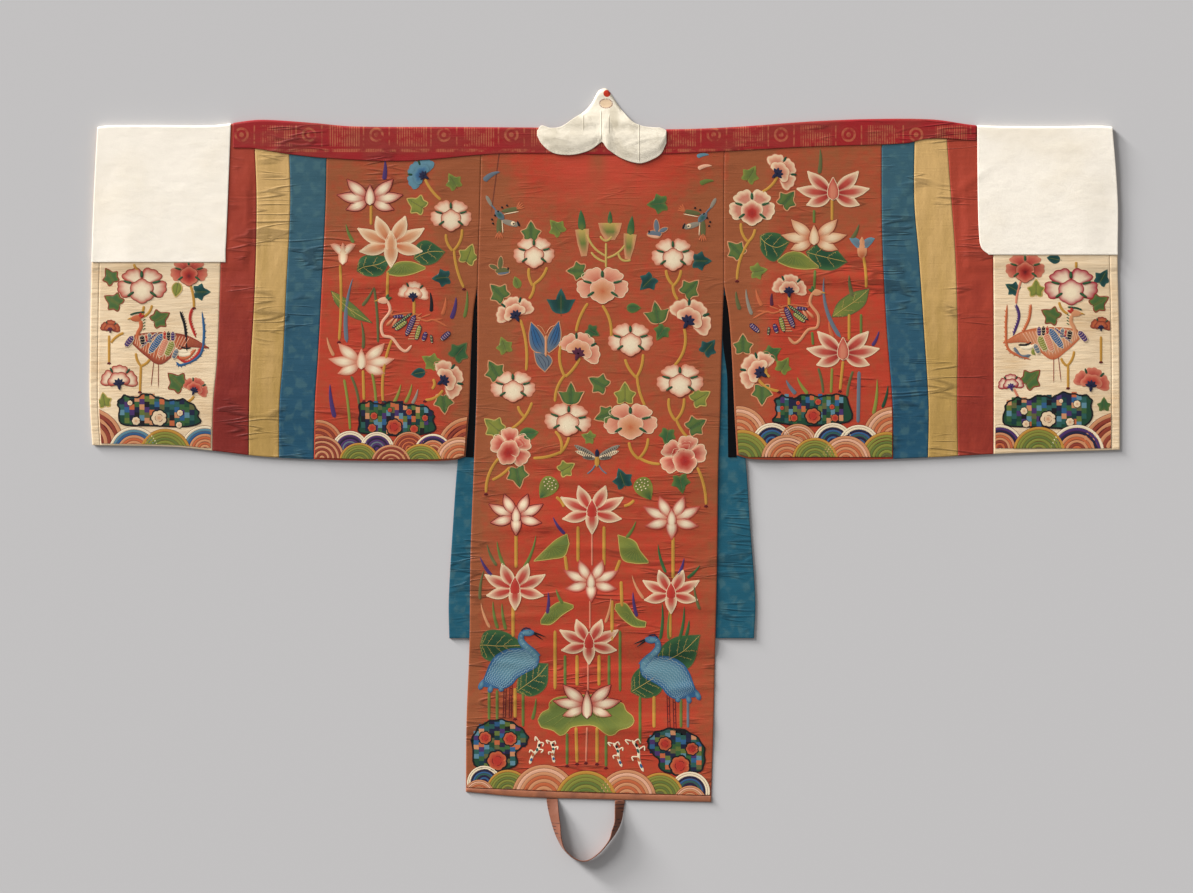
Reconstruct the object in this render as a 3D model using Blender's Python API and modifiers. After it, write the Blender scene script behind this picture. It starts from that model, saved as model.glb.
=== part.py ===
"""Korean bridal robe (hwarot), laid flat with its back up and its arms straight out.

Every sheet of cloth is a grid that a function places on its middle surface, with a
Solidify wall. Sheets are described by x, by their drop below the shoulder line, and by
their height above the surface they lie on. Metres; +X to the right, +Y to the neck,
+Z up; the origin is under the middle of the whole robe, on the surface.
"""

import math
from collections import namedtuple

import bmesh
import bpy

# ---------------------------------------------------------------- driving dimensions
SHOULDER_Y = 0.6145           # y of the shoulder line; a place's y is this minus its drop
SEAM_DROP = 0.285             # the sleeves are sewn to the body down to here
SLEEVE_DEPTH = 0.580          # usual depth of a sleeve, shoulder to hem
LEVEL_DEPTH = 0.413           # rows are level down to here, and then follow the hem
FRONT_HEM = 0.900             # the fronts end here, well above the back's hem
NECK_HALF = 0.105             # half width of the neck, where the shoulder bands end
NECK_TOP = 0.010              # the front neck is this wide down to here, and narrows to a V
NECK_DEPTH = 0.260            # the point of that V
EDGE_WIDTH = 0.014            # bound strip at the open end of a sleeve
LEAST_STEP = 0.004            # columns closer than this to the end of a band are left out

CLOTH = 0.0020                # lined silk
LINING = 0.0012
THIN = 0.0010                 # single cloth: bands over the shoulder and white covers
BINDING = 0.0026
GAP = 0.0003                  # between pieces at their seams and between layers

FOLD_STACK = 0.0051           # height of the back layer's underside at the shoulder fold
FOLD_RADIUS = 0.0019          # of a sleeve's middle surface round the shoulder
WRAP_RADIUS = FOLD_RADIUS + (CLOTH + THIN) / 2 + GAP
FOLD_HEIGHT = THIN + GAP + CLOTH / 2 + FOLD_RADIUS
FOLD_STEPS = 4
SETTLED = 0.055               # the back layer leaves the shoulder fold's height from here
RESTING = 0.120               # and rests on what is under it from here
SLEEVE_CROWN = 0.0020         # how far the back layer stands off the front one
BODY_CROWN = 0.0012

BAND_FRONT = 0.045            # how far the shoulder band reaches down the front
COVER_DEPTH = {"left": 0.242, "right": 0.229}    # of the white cuff covers, back and front
COVER_FROM = 0.630            # from this |x| outwards the front lies on a cuff cover
FLAP_SLOPE = 0.015            # length in which the front comes down off the edge of a flap
FLAP_CLEAR = 0.004            # from a flap's edge to the start of that slope
LINING_DROP = 0.004           # the fronts' lining starts this far below the fold
FACING_TOP = 0.300            # the black strips under the arms, from here
FACING_END = 0.583            # to here
FACING_CLEAR = 0.0006
FACING_COVERED = {"left": 0.06, "right": 0.50}   # share of the slit left blue beside them
LOBE_RISE = 0.0020            # of the collar cover's two lobes
PLEAT_RISE = 0.0015           # of the pleat down its middle
BINDING_CROWN = 0.0006
RIBBON = 0.0018               # thickness of the hanging loop
RIBBON_STEPS = 32

# ---------------------------------------------------------------- tables of the outline
Point = namedtuple("Point", "x drop")
SleeveRow = namedtuple("SleeveRow", "drop edge cuff red yellow blue")
SideRow = namedtuple("SideRow", "drop left right")
CoverRow = namedtuple("CoverRow", "x top bottom")
LoopRow = namedtuple("LoopRow", "x drop width tilt")
Fold = namedtuple("Fold", "x drop reach width rise")

# the folded top edge, from cuff to cuff
SHOULDER = [
    Point(-0.890, 0.0050), Point(-0.870, 0.0025), Point(-0.791, 0.002), Point(-0.686, 0.002),
    Point(-0.616, -0.007), Point(-0.581, -0.007), Point(-0.511, -0.002), Point(-0.441, 0.004),
    Point(-0.266, 0.005), Point(0.000, 0.007), Point(0.119, 0.009), Point(0.224, 0.005),
    Point(0.364, -0.005), Point(0.469, -0.009), Point(0.574, -0.008), Point(0.650, 0.002),
    Point(0.784, 0.004), Point(0.868, 0.0030), Point(0.888, 0.0050),
]
# |x| of each sleeve's outer edge and of the outer side of its stripes
LEFT_SLEEVE = [
    SleeveRow(0.000, 0.889, 0.672, 0.616, 0.556, 0.488),
    SleeveRow(0.133, 0.896, 0.672, 0.611, 0.552, 0.490),
    SleeveRow(0.285, 0.901, 0.675, 0.614, 0.559, 0.497),
    SleeveRow(0.413, 0.903, 0.680, 0.621, 0.565, 0.504),
    SleeveRow(0.490, 0.903, 0.687, 0.624, 0.571, 0.509),
    SleeveRow(0.590, 0.897, 0.689, 0.625, 0.572, 0.511),
]
RIGHT_SLEEVE = [
    SleeveRow(0.000, 0.886, 0.672, 0.595, 0.541, 0.483),
    SleeveRow(0.133, 0.896, 0.676, 0.605, 0.540, 0.483),
    SleeveRow(0.230, 0.896, 0.678, 0.612, 0.548, 0.485),
    SleeveRow(0.360, 0.899, 0.679, 0.616, 0.557, 0.492),
    SleeveRow(0.490, 0.900, 0.679, 0.615, 0.565, 0.502),
    SleeveRow(0.590, 0.900, 0.679, 0.617, 0.564, 0.503),
]
# |x| of the seam between body and sleeve, and below it of the sleeve's inner edge, of
# the body's side and of the fronts' side
SEAM = [SideRow(0.000, 0.2170, 0.2080), SideRow(0.133, 0.2200, 0.2070), SideRow(0.285, 0.2245, 0.2070)]
SLEEVE_INNER = [
    SideRow(0.285, 0.2250, 0.2075), SideRow(0.330, 0.2315, 0.2150), SideRow(0.413, 0.2360, 0.2210),
    SideRow(0.500, 0.2390, 0.2250), SideRow(0.590, 0.2460, 0.2300),
]
BODY_SIDE = [
    SideRow(0.285, 0.2245, 0.2068), SideRow(0.413, 0.2250, 0.2025), SideRow(0.500, 0.2270, 0.2005),
    SideRow(0.600, 0.2310, 0.1970), SideRow(0.763, 0.2370, 0.1950), SideRow(0.903, 0.2385, 0.1920),
    SideRow(1.043, 0.2440, 0.1890), SideRow(1.176, 0.2450, 0.1850),
]
FRONT_SIDE = [
    SideRow(0.285, 0.2245, 0.2075), SideRow(0.413, 0.2390, 0.2240), SideRow(0.588, 0.2590, 0.2450),
    SideRow(0.693, 0.2670, 0.2520), SideRow(0.833, 0.2750, 0.2620), SideRow(0.900, 0.2740, 0.2595),
]
LEFT_HEM = [
    Point(-0.899, 0.562), Point(-0.756, 0.565), Point(-0.686, 0.572), Point(-0.600, 0.582),
    Point(-0.476, 0.588), Point(-0.336, 0.590), Point(-0.266, 0.588), Point(-0.243, 0.581),
]
RIGHT_HEM = [
    Point(0.226, 0.579), Point(0.259, 0.587), Point(0.434, 0.588), Point(0.574, 0.583),
    Point(0.714, 0.576), Point(0.900, 0.570),
]
BACK_HEM = [Point(-0.245, 1.162), Point(-0.147, 1.166), Point(-0.010, 1.171), Point(0.185, 1.176)]
BINDING_HEM = [Point(-0.245, 1.169), Point(-0.147, 1.178), Point(-0.020, 1.182), Point(0.185, 1.187)]
# lower edge of the shoulder band on the back
BAND_EDGE = [
    Point(-0.652, 0.042), Point(-0.616, 0.043), Point(-0.554, 0.053), Point(-0.486, 0.060),
    Point(-0.353, 0.065), Point(-0.183, 0.052), Point(0.042, 0.054), Point(0.165, 0.050),
    Point(0.357, 0.040), Point(0.524, 0.034), Point(0.564, 0.026), Point(0.648, 0.029),
]
# inner edge of the white cuff covers, the left one square and the right one rounded
COVER_INNER = [
    SideRow(0.000, 0.656, 0.650), SideRow(0.133, 0.661, 0.651), SideRow(0.205, 0.664, 0.654),
    SideRow(0.220, 0.665, 0.659), SideRow(0.229, 0.665, 0.670), SideRow(0.242, 0.665, 0.671),
]
# the collar cover, from the tip of one lobe over the peak to the other
COLLAR_COVER = [
    CoverRow(-0.120, 0.012, 0.021), CoverRow(-0.113, 0.003, 0.034), CoverRow(-0.096, 0.007, 0.049),
    CoverRow(-0.077, 0.004, 0.054), CoverRow(-0.056, -0.010, 0.054), CoverRow(-0.038, -0.022, 0.050),
    CoverRow(-0.024, -0.038, 0.044), CoverRow(-0.013, -0.058, 0.036), CoverRow(-0.006, -0.062, 0.032),
    CoverRow(0.002, -0.062, 0.043), CoverRow(0.011, -0.050, 0.050), CoverRow(0.027, -0.026, 0.060),
    CoverRow(0.046, -0.005, 0.067), CoverRow(0.062, 0.003, 0.069), CoverRow(0.080, 0.006, 0.063),
    CoverRow(0.097, 0.007, 0.052), CoverRow(0.106, 0.012, 0.034),
]
# half width of the collar, from under the peak down to the point of the V
COLLAR = [
    Point(0.0035, -0.052), Point(0.0120, -0.035), Point(0.0220, -0.020), Point(0.0380, -0.005),
    Point(0.0620, 0.008), Point(0.0940, 0.020), Point(0.0015, 0.256),
]
# the hanging loop: a ribbon flat at the hem and up on its edge round the bend
LOOP = [
    LoopRow(-0.0940, 1.1820, 0.0195, 0), LoopRow(-0.0910, 1.2040, 0.0195, 26),
    LoopRow(-0.0865, 1.2270, 0.0190, 41), LoopRow(-0.0815, 1.2490, 0.0180, 64),
    LoopRow(-0.0720, 1.2700, 0.0165, 80), LoopRow(-0.0530, 1.2860, 0.0155, 82),
    LoopRow(-0.0330, 1.2890, 0.0150, 84), LoopRow(-0.0115, 1.2755, 0.0155, 83),
    LoopRow(0.0065, 1.2540, 0.0165, 80), LoopRow(0.0150, 1.2370, 0.0180, 60),
    LoopRow(0.0215, 1.2190, 0.0185, 49), LoopRow(0.0248, 1.1845, 0.0180, 14),
]
# soft ridges that lie across the robe
FOLDS = [
    Fold(-0.430, 0.268, 0.110, 0.016, 0.0011), Fold(-0.700, 0.300, 0.150, 0.022, 0.0008),
    Fold(0.420, 0.272, 0.120, 0.016, 0.0011), Fold(0.720, 0.320, 0.150, 0.022, 0.0008),
    Fold(0.020, 0.160, 0.060, 0.050, 0.0012), Fold(-0.100, 0.565, 0.130, 0.018, 0.0015),
    Fold(0.090, 0.615, 0.140, 0.018, 0.0015), Fold(-0.060, 0.693, 0.150, 0.020, 0.0014),
    Fold(0.050, 0.830, 0.160, 0.022, 0.0015), Fold(-0.090, 0.985, 0.150, 0.024, 0.0024),
    Fold(0.080, 1.060, 0.130, 0.024, 0.0024),
]

# ---------------------------------------------------------------- rows of the grids
COVER_DROPS = [0.030, 0.055, 0.087, 0.120, 0.165]
SEAM_DROPS = COVER_DROPS + [0.210, 0.246, 0.265, SEAM_DROP]
SLIT_DROPS = [0.330, 0.390, 0.450, 0.500, 0.545]
SLEEVE_BACK_DROPS = SEAM_DROPS + SLIT_DROPS + [SLEEVE_DEPTH]
SLEEVE_FRONT_DROPS = [SLEEVE_DEPTH, 0.413, SEAM_DROP, 0.262, 0.246, 0.066, 0.051]
BACK_DROPS = SEAM_DROPS + SLIT_DROPS + [0.565, 0.590, 0.615, 0.650, 0.693, 0.730, 0.780, 0.830, 0.870,
                                        0.904, 0.944, 0.985, 1.020, 1.060, 1.110]
FRONT_DROPS = [0.051, 0.066, 0.246, SEAM_DROP, 0.413, 0.588, 0.740]

RED = (0.50, 0.13, 0.07)
BRIGHT_RED = (0.38, 0.07, 0.04)
CRIMSON = (0.33, 0.05, 0.04)
YELLOW = (0.58, 0.36, 0.14)
BLUE = (0.05, 0.12, 0.16)
CREAM = (0.60, 0.43, 0.27)
WHITE = (0.82, 0.77, 0.68)
BLACK = (0.01, 0.01, 0.012)


# the pieces of a sleeve from the body outwards, with their columns
SLEEVE_PIECES = [("sleeve", 7, RED), ("blue_band", 2, BLUE), ("yellow_band", 2, YELLOW),
                 ("red_band", 4, BRIGHT_RED), ("cuff", 5, CREAM), ("cuff_edge", 1, CREAM)]
BODY_COLUMNS = 12


# ---------------------------------------------------------------- curves and heights
def curve(points):
    """A smooth curve through (t, value) pairs, each slope being that between its neighbours."""
    def slope(index):
        before = points[max(index - 1, 0)]
        after = points[min(index + 1, len(points) - 1)]
        return (after[1] - before[1]) / (after[0] - before[0])

    def value(t):
        t = min(max(t, points[0][0]), points[-1][0])
        index = 1
        while t > points[index][0]:
            index += 1
        (start, low), (end, high) = points[index - 1], points[index]
        span = end - start
        s = (t - start) / span
        return (low * (1 + 2 * s) * (1 - s) ** 2 + slope(index - 1) * span * s * (1 - s) ** 2
                + high * s * s * (3 - 2 * s) - slope(index) * span * s * s * (1 - s))
    return value


def column(rows, name, key="drop", sign=1):
    """One column of a table as a smooth curve of its key."""
    return curve([(getattr(row, key), sign * getattr(row, name)) for row in rows])


def ramp(value, start, end):
    """Smooth step from 0 at start to 1 at end."""
    t = min(max((value - start) / (end - start), 0.0), 1.0)
    return t * t * (3 - 2 * t)


def mix(a, b, share):
    return a + (b - a) * share


shoulder = column(SHOULDER, "drop", "x")
back_hem = column(BACK_HEM, "drop", "x")
binding_hem = column(BINDING_HEM, "drop", "x")


def front_height(x, drop):
    """Underside of the front layer: on the surface, or on what is folded round from the back."""
    covered = ramp(abs(x), COVER_FROM - FLAP_SLOPE, COVER_FROM)
    reach = mix(BAND_FRONT, COVER_DEPTH["left"], covered) + FLAP_CLEAR
    return (THIN + GAP) * (1 - ramp(drop, reach, reach + FLAP_SLOPE))


def folds(x, drop):
    """All the ridges together: each a bell across its width that fades along its reach."""
    rise = 0.0
    for fold in FOLDS:
        across = (drop - fold.drop) / fold.width
        along = (x - fold.x) / fold.reach
        rise += fold.rise * math.exp(-across * across) * math.exp(-along * along)
    return rise


def fullness(x, drop):
    """How far the back layer stands off what is under it: a soft crown, nil at the edges."""
    out = abs(x)
    sleeve = SLEEVE_CROWN * ramp(out, 0.235, 0.330) * ramp(out, 0.895, 0.830) * ramp(drop, 0.565, 0.490)
    body = BODY_CROWN * ramp(out, 0.205, 0.100) * ramp(drop, 0.900, 0.700)
    hem = ramp(drop, 1.150, 1.080)
    edge = ramp(out, 0.225, 0.190) if drop > SEAM_DROP and out < 0.25 else 1.0
    return sleeve + body + folds(x, drop) * hem * edge * ramp(out, 0.895, 0.850)


def back_height(x, drop):
    """Underside of the back layer: over the front layer, and on the surface below the fronts."""
    lining = (LINING + GAP) * ramp(abs(x), 0.335, 0.285)
    under = front_height(x, drop) + CLOTH + GAP + lining
    under *= ramp(drop, FRONT_HEM + 0.042, FRONT_HEM + 0.004)
    return mix(FOLD_STACK, under + fullness(x, drop), ramp(drop, SETTLED, RESTING))


def stretched(drop, hem):
    """A row's drop, with the lowest rows of a sleeve drawn to the real depth of its hem."""
    share = (drop - LEVEL_DEPTH) / (SLEEVE_DEPTH - LEVEL_DEPTH)
    return mix(LEVEL_DEPTH, hem, share) if share > 0 else drop


# ---------------------------------------------------------------- making pieces
def fresh_collection(name):
    for thing in list(bpy.data.objects):
        bpy.data.objects.remove(thing)
    collection = bpy.data.collections.new(name)
    bpy.context.scene.collection.children.link(collection)
    return collection


def finish_of(name, colour, roughness):
    material = bpy.data.materials.new(name)
    material.use_nodes = True
    shader = material.node_tree.nodes["Principled BSDF"]
    shader.inputs["Base Color"].default_value = (*colour, 1)
    shader.inputs["Roughness"].default_value = roughness
    shader.inputs["Metallic"].default_value = 0.0
    return material


def cloth(robe, name, columns, rows, place, thickness, colour, roughness=0.7):
    """A sheet: place(u, row) gives x, drop and height of its middle surface; u runs 0 to 1."""
    grid = bmesh.new()
    bmesh.ops.create_grid(grid, x_segments=columns, y_segments=rows, size=0.5)
    for vertex in grid.verts:
        u = round((vertex.co.x + 0.5) * columns) / columns
        row = round((vertex.co.y + 0.5) * rows)
        x, drop, height = place(u, row)
        vertex.co = (x, SHOULDER_Y - drop, height)
    mesh = bpy.data.meshes.new(name)
    grid.to_mesh(mesh)
    grid.free()
    sheet = bpy.data.objects.new(name, mesh)
    mesh.materials.append(finish_of(name + " finish", colour, roughness))
    robe.objects.link(sheet)
    wall = sheet.modifiers.new("Thickness of the cloth", "SOLIDIFY")
    wall.thickness = thickness
    wall.offset = 0.0
    wall.use_even_offset = True
    return sheet


def between(edges, u):
    """The line a share u of the way from one edge to the other, as x for a given drop."""
    return lambda drop: mix(edges[0](drop), edges[1](drop), u)


def settled(line, drop_at, tries=4):
    """The x and drop where a line, x for a given drop, meets a row, drop for a given x."""
    drop = drop_at(0.0)
    for _ in range(tries):
        x = line(drop)
        drop = drop_at(x)
    return x, drop


def lines_across(bounds, pieces):
    """Every column line of a row of neighbouring pieces, from the first bound to the last."""
    lines = []
    for index, (_, columns, _) in enumerate(pieces):
        pair = (bounds[index], bounds[index + 1])
        lines += [between(pair, step / columns) for step in range(columns)]
    return lines + [bounds[-1]]


def fold_start(x):
    """Drop at which the layers leave the flat and turn round the shoulder."""
    return shoulder(x) + THIN / 2 + WRAP_RADIUS


def round_fold(x, step, radius):
    """Drop and height of the middle surface part of the way round the shoulder fold."""
    angle = math.pi * step / FOLD_STEPS
    return fold_start(x) - radius * math.sin(angle), FOLD_HEIGHT - radius * math.cos(angle)


def folded(robe, name, columns, back_edges, front_edges, hem, colour):
    """A sleeve piece in one length: up the front, round the shoulder and down the back."""
    fronts = len(SLEEVE_FRONT_DROPS)
    rows = fronts + FOLD_STEPS + len(SLEEVE_BACK_DROPS)

    def place(u, row):
        if row < fronts:
            drop_of = SLEEVE_FRONT_DROPS[row]
            x, drop = settled(between(front_edges, u), lambda x: stretched(drop_of, hem(x) - 0.002))
            return x, drop, front_height(x, drop) + CLOTH / 2
        if row <= fronts + FOLD_STEPS:
            x, _ = settled(between(back_edges, u), shoulder)
            return (x, *round_fold(x, row - fronts, FOLD_RADIUS))
        drop_of = SLEEVE_BACK_DROPS[row - fronts - FOLD_STEPS - 1]
        x, drop = settled(between(back_edges, u), lambda x: stretched(drop_of, hem(x)))
        return x, drop, back_height(x, drop) + CLOTH / 2

    return cloth(robe, name, columns, rows, place, CLOTH, colour)


def wrapped(robe, name, lines, front_drops, back_drops, colour):
    """Cloth folded over the shoulder outside the robe's own fold; drops may depend on x."""
    fronts, columns = len(front_drops), len(lines) - 1

    def place(u, row):
        line = lines[round(u * columns)]
        if row < fronts:
            x, drop = settled(line, front_drops[row])
            return x, drop, THIN / 2
        if row <= fronts + FOLD_STEPS:
            x, _ = settled(line, shoulder)
            return (x, *round_fold(x, row - fronts, WRAP_RADIUS))
        x, drop = settled(line, back_drops[row - fronts - FOLD_STEPS - 1])
        return x, drop, back_height(x, drop) + CLOTH + GAP + THIN / 2

    return cloth(robe, name, columns, fronts + FOLD_STEPS + len(back_drops), place, THIN, colour, 0.6)


def level(drop):
    """A row at the same drop all the way across."""
    return lambda x: drop


# ---------------------------------------------------------------- the robe's pieces
def side_curves(rows, side):
    """The |x| of an edge on one side, as a signed x, seam above and its own line below."""
    sign = -1 if side == "left" else 1
    upper = column(SEAM, side, sign=sign)
    lower = column(rows, side, sign=sign)
    return lambda drop: upper(drop) if drop <= SEAM_DROP else lower(drop)


def moved(edge, shift):
    return lambda drop: edge(drop) + shift


def sleeve_bounds(side):
    """The lines between a sleeve's pieces, from the body's seam to the open end."""
    rows, sign = (LEFT_SLEEVE, -1) if side == "left" else (RIGHT_SLEEVE, 1)
    outer = column(rows, "edge", sign=sign)
    stripes = [column(rows, name, sign=sign) for name in ("blue", "yellow", "red", "cuff")]
    return [side_curves(SLEEVE_INNER, side)] + stripes + [moved(outer, -sign * EDGE_WIDTH), outer]


def add_sleeve(robe, letter, side, sign):
    """The panel, three stripes, cuff and cuff edge of one sleeve, each folded at the shoulder."""
    hem = column(LEFT_HEM if side == "left" else RIGHT_HEM, "drop", "x")
    bounds = sleeve_bounds(side)
    for index, (name, columns, colour) in enumerate(SLEEVE_PIECES):
        inside = moved(bounds[index], sign * GAP / 2)
        outside = moved(bounds[index + 1], -sign * GAP / 2)
        front_inside = moved(side_curves(FRONT_SIDE, side), sign * GAP) if index == 0 else inside
        back = (outside, inside) if sign < 0 else (inside, outside)
        front = (outside, front_inside) if sign < 0 else (front_inside, outside)
        folded(robe, name + "_" + letter, columns, back, front, hem, colour)


def body_sides():
    left = moved(side_curves(BODY_SIDE, "left"), GAP / 2)
    return left, moved(side_curves(BODY_SIDE, "right"), -GAP / 2)


def add_body(robe):
    """The back panel, which lies over the fronts and then on the surface."""
    sides = body_sides()
    rows = len(BACK_DROPS) + 1

    def place(u, row):
        row = rows - row
        drops = [fold_start] + [level(drop) for drop in BACK_DROPS] + [back_hem]
        x, drop = settled(between(sides, u), drops[row])
        return x, drop, back_height(x, drop) + CLOTH / 2

    cloth(robe, "back_panel", BODY_COLUMNS, rows, place, CLOTH, RED)


def add_front(robe, letter, side, sign):
    """One front, red side down, and its blue lining on top of it."""
    outer = side_curves(FRONT_SIDE, side)

    def middle(drop):
        open_neck = 1 - min(max((drop - NECK_TOP) / (NECK_DEPTH - NECK_TOP), 0.0), 1.0)
        return sign * (NECK_HALF * open_neck + GAP)

    edges = (outer, middle) if sign < 0 else (middle, outer)
    drops = [level(FRONT_HEM)] + [level(drop) for drop in reversed(FRONT_DROPS)]
    rows = len(drops)

    def front_place(u, row, below_fold, rest):
        above = lambda x: fold_start(x) + below_fold
        x, drop = settled(between(edges, u), drops[row] if row < rows else above)
        return x, drop, front_height(x, drop) + rest

    cloth(robe, "front_panel_" + letter, 3, rows,
          lambda u, row: front_place(u, row, 0.0, CLOTH / 2), CLOTH, RED)
    cloth(robe, "front_lining_" + letter, 3, rows,
          lambda u, row: front_place(u, row, LINING_DROP, CLOTH + GAP + LINING / 2), LINING, BLUE)


def add_underarm_facing(robe, letter, side, sign):
    """The narrow black strip on the lining that shows between the body and the sleeve."""
    body = side_curves(BODY_SIDE, side)
    sleeve = side_curves(SLEEVE_INNER, side)
    rows = 8

    def place(u, row):
        drop = mix(FACING_END, FACING_TOP, row / rows)
        share = FACING_COVERED[side] * ramp(drop, 0.360, 0.450)
        inner = mix(body(drop), sleeve(drop), share) + sign * FACING_CLEAR
        outer = sleeve(drop) - sign * FACING_CLEAR
        edges = (outer, inner) if sign < 0 else (inner, outer)
        return mix(*edges, u), drop, CLOTH + LINING + 2 * GAP + THIN / 2

    cloth(robe, "underarm_facing_" + letter, 1, rows, place, THIN, BLACK)


def add_shoulder_band(robe):
    """The crimson band: one strip folded over each shoulder, and a flat one across the neck."""
    edge = column(BAND_EDGE, "drop", "x")
    body = [between(body_sides(), step / BODY_COLUMNS) for step in range(BODY_COLUMNS + 1)]
    halfway = lambda x: (edge(x) + fold_start(x)) / 2
    for name, side, sign, end in (("shoulder_band_L", "left", -1, BAND_EDGE[0].x),
                                  ("shoulder_band_R", "right", 1, BAND_EDGE[-1].x)):
        near = NECK_HALF + GAP
        under = body[::sign] + lines_across(sleeve_bounds(side), SLEEVE_PIECES)[1:]
        inner = [line for line in under if near + LEAST_STEP < sign * line(0.0) < abs(end) - LEAST_STEP]
        lines = [level(sign * near)] + inner + [level(end)]
        wrapped(robe, name, lines[::sign], [level(BAND_FRONT)], [halfway, edge], CRIMSON)

    def place(u, row):
        x = mix(-NECK_HALF, NECK_HALF, u)
        drop = mix(edge(x), fold_start(x), row / 2)
        return x, drop, back_height(x, drop) + CLOTH + GAP + THIN / 2

    cloth(robe, "neck_band", 5, 2, place, THIN, CRIMSON)


def add_cuff_cover(robe, letter, side, sign):
    """The white cover over the top of a cuff, folded round to the front."""
    lines = [column(COVER_INNER, side, sign=sign)]
    lines += lines_across(sleeve_bounds(side)[-3:], SLEEVE_PIECES[-2:])
    depth = COVER_DEPTH[side]
    back = [level(drop) for drop in COVER_DROPS + [depth - 0.022, depth - 0.008, depth]]
    front = [level(drop) for drop in (depth, 0.120, 0.055)]
    wrapped(robe, "cuff_cover_" + letter, lines[::sign], front, back, WHITE)


def add_collar(robe):
    """The collar band, a flat V under the neck with a point that stands up past the shoulder."""
    half = curve([(row.drop, row.x) for row in COLLAR])
    neck, point = COLLAR[-2:]
    drops = [row.drop for row in COLLAR[:-1]] + [0.051, 0.066, 0.160, point.drop]

    def place(u, row):
        drop = drops[len(drops) - 1 - row]
        below_neck = (drop - neck.drop) / (point.drop - neck.drop)
        width = mix(neck.x, point.x, below_neck) if below_neck > 0 else half(drop)
        return mix(-width, width, u), drop, front_height(0.0, drop) + CLOTH / 2

    cloth(robe, "collar", 2, len(drops) - 1, place, CLOTH, RED)


def add_collar_cover(robe):
    """The white cover of the collar: two lobes on the back, and a peak over the collar's point."""
    top = column(COLLAR_COVER, "top", "x")
    bottom = column(COLLAR_COVER, "bottom", "x")
    shares = [0.0, 0.12, 0.28, 0.44, 0.58, 0.72, 0.84, 0.93, 1.0]
    columns = 22
    neck_drop = COLLAR[-2].drop
    over_back = FOLD_STACK + CLOTH + THIN + 2 * GAP
    over_collar = THIN + CLOTH + 2 * GAP

    def place(u, row):
        x = mix(COLLAR_COVER[0].x, COLLAR_COVER[-1].x, u)
        drop = mix(bottom(x), top(x), shares[row])
        height = mix(over_collar, over_back, ramp(drop, -0.014, 0.003))
        lobe = LOBE_RISE * ramp(drop, 0.005, 0.025) * ramp(bottom(x) - drop, 0.0, 0.020)
        pleat = PLEAT_RISE * math.exp(-((x - 0.001) / 0.010) ** 2) * ramp(drop, -0.020, 0.010)
        droop = (over_collar - GAP) * ramp(top(x), -0.012, -0.030) * ramp(drop - top(x), 0.006, 0.0)
        crown = back_height(x, drop) - FOLD_STACK
        rest = max(crown, 0.0) if drop > neck_drop else 0.0
        return x, drop, height + rest + lobe + pleat - droop + THIN / 2

    cloth(robe, "collar_cover", columns, len(shares) - 1, place, THIN, WHITE, 0.8)


def add_hem(robe):
    """The bound lower edge of the back panel."""
    start, end = BACK_HEM[0].x, BACK_HEM[-1].x

    def place(u, row):
        x = mix(start, end, u)
        drop = mix(binding_hem(x), back_hem(x) + GAP, row / 2)
        return x, drop, BINDING / 2 + (BINDING_CROWN if row == 1 else 0.0)

    cloth(robe, "hem_binding", 14, 2, place, BINDING, BRIGHT_RED)


def add_loop(robe):
    """The ribbon loop at the hem, turning from flat to standing on its edge and back."""
    last = len(LOOP) - 1
    lines = {}
    for name in LoopRow._fields:
        lines[name] = curve([(index / last, getattr(row, name)) for index, row in enumerate(LOOP)])

    def place(u, row):
        t = row / RIBBON_STEPS
        ahead, behind = min(t + 0.01, 1.0), max(t - 0.01, 0.0)
        along_x = lines["x"](ahead) - lines["x"](behind)
        along_drop = lines["drop"](ahead) - lines["drop"](behind)
        length = math.hypot(along_x, along_drop)
        tilt = math.radians(min(max(lines["tilt"](t), 0.0), 88.0))
        side = (u - 0.5) * lines["width"](t)
        flat = side * math.cos(tilt)
        height = (lines["width"](t) / 2 - side) * math.sin(tilt) + RIBBON / 2
        x = lines["x"](t) - flat * along_drop / length
        drop = lines["drop"](t) + flat * along_x / length
        return x, drop if 0 < row < RIBBON_STEPS else binding_hem(x) + 2 * GAP, height

    cloth(robe, "hanging_loop", 2, RIBBON_STEPS, place, RIBBON, BRIGHT_RED)


def build():
    robe = fresh_collection("Korean bridal robe")
    for letter, side, sign in (("L", "left", -1), ("R", "right", 1)):
        add_sleeve(robe, letter, side, sign)
        add_front(robe, letter, side, sign)
        add_underarm_facing(robe, letter, side, sign)
        add_cuff_cover(robe, letter, side, sign)
    add_body(robe)
    add_shoulder_band(robe)
    add_collar(robe)
    add_collar_cover(robe)
    add_hem(robe)
    add_loop(robe)


build()
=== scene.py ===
"""Korean bridal robe (hwarot) laid flat: silks, bands, white covers and embroidery.

The file is laid out as an add-on. Every sheet of cloth is a function of two parameters,
worked out with numpy on a grid and closed into a thin shell; every stitch of embroidery
is a strip between two edge lines, laid on the height of the cloth below it. Sheets are
described by x, by their drop below the shoulder line and by their height. Metres.
"""

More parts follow.
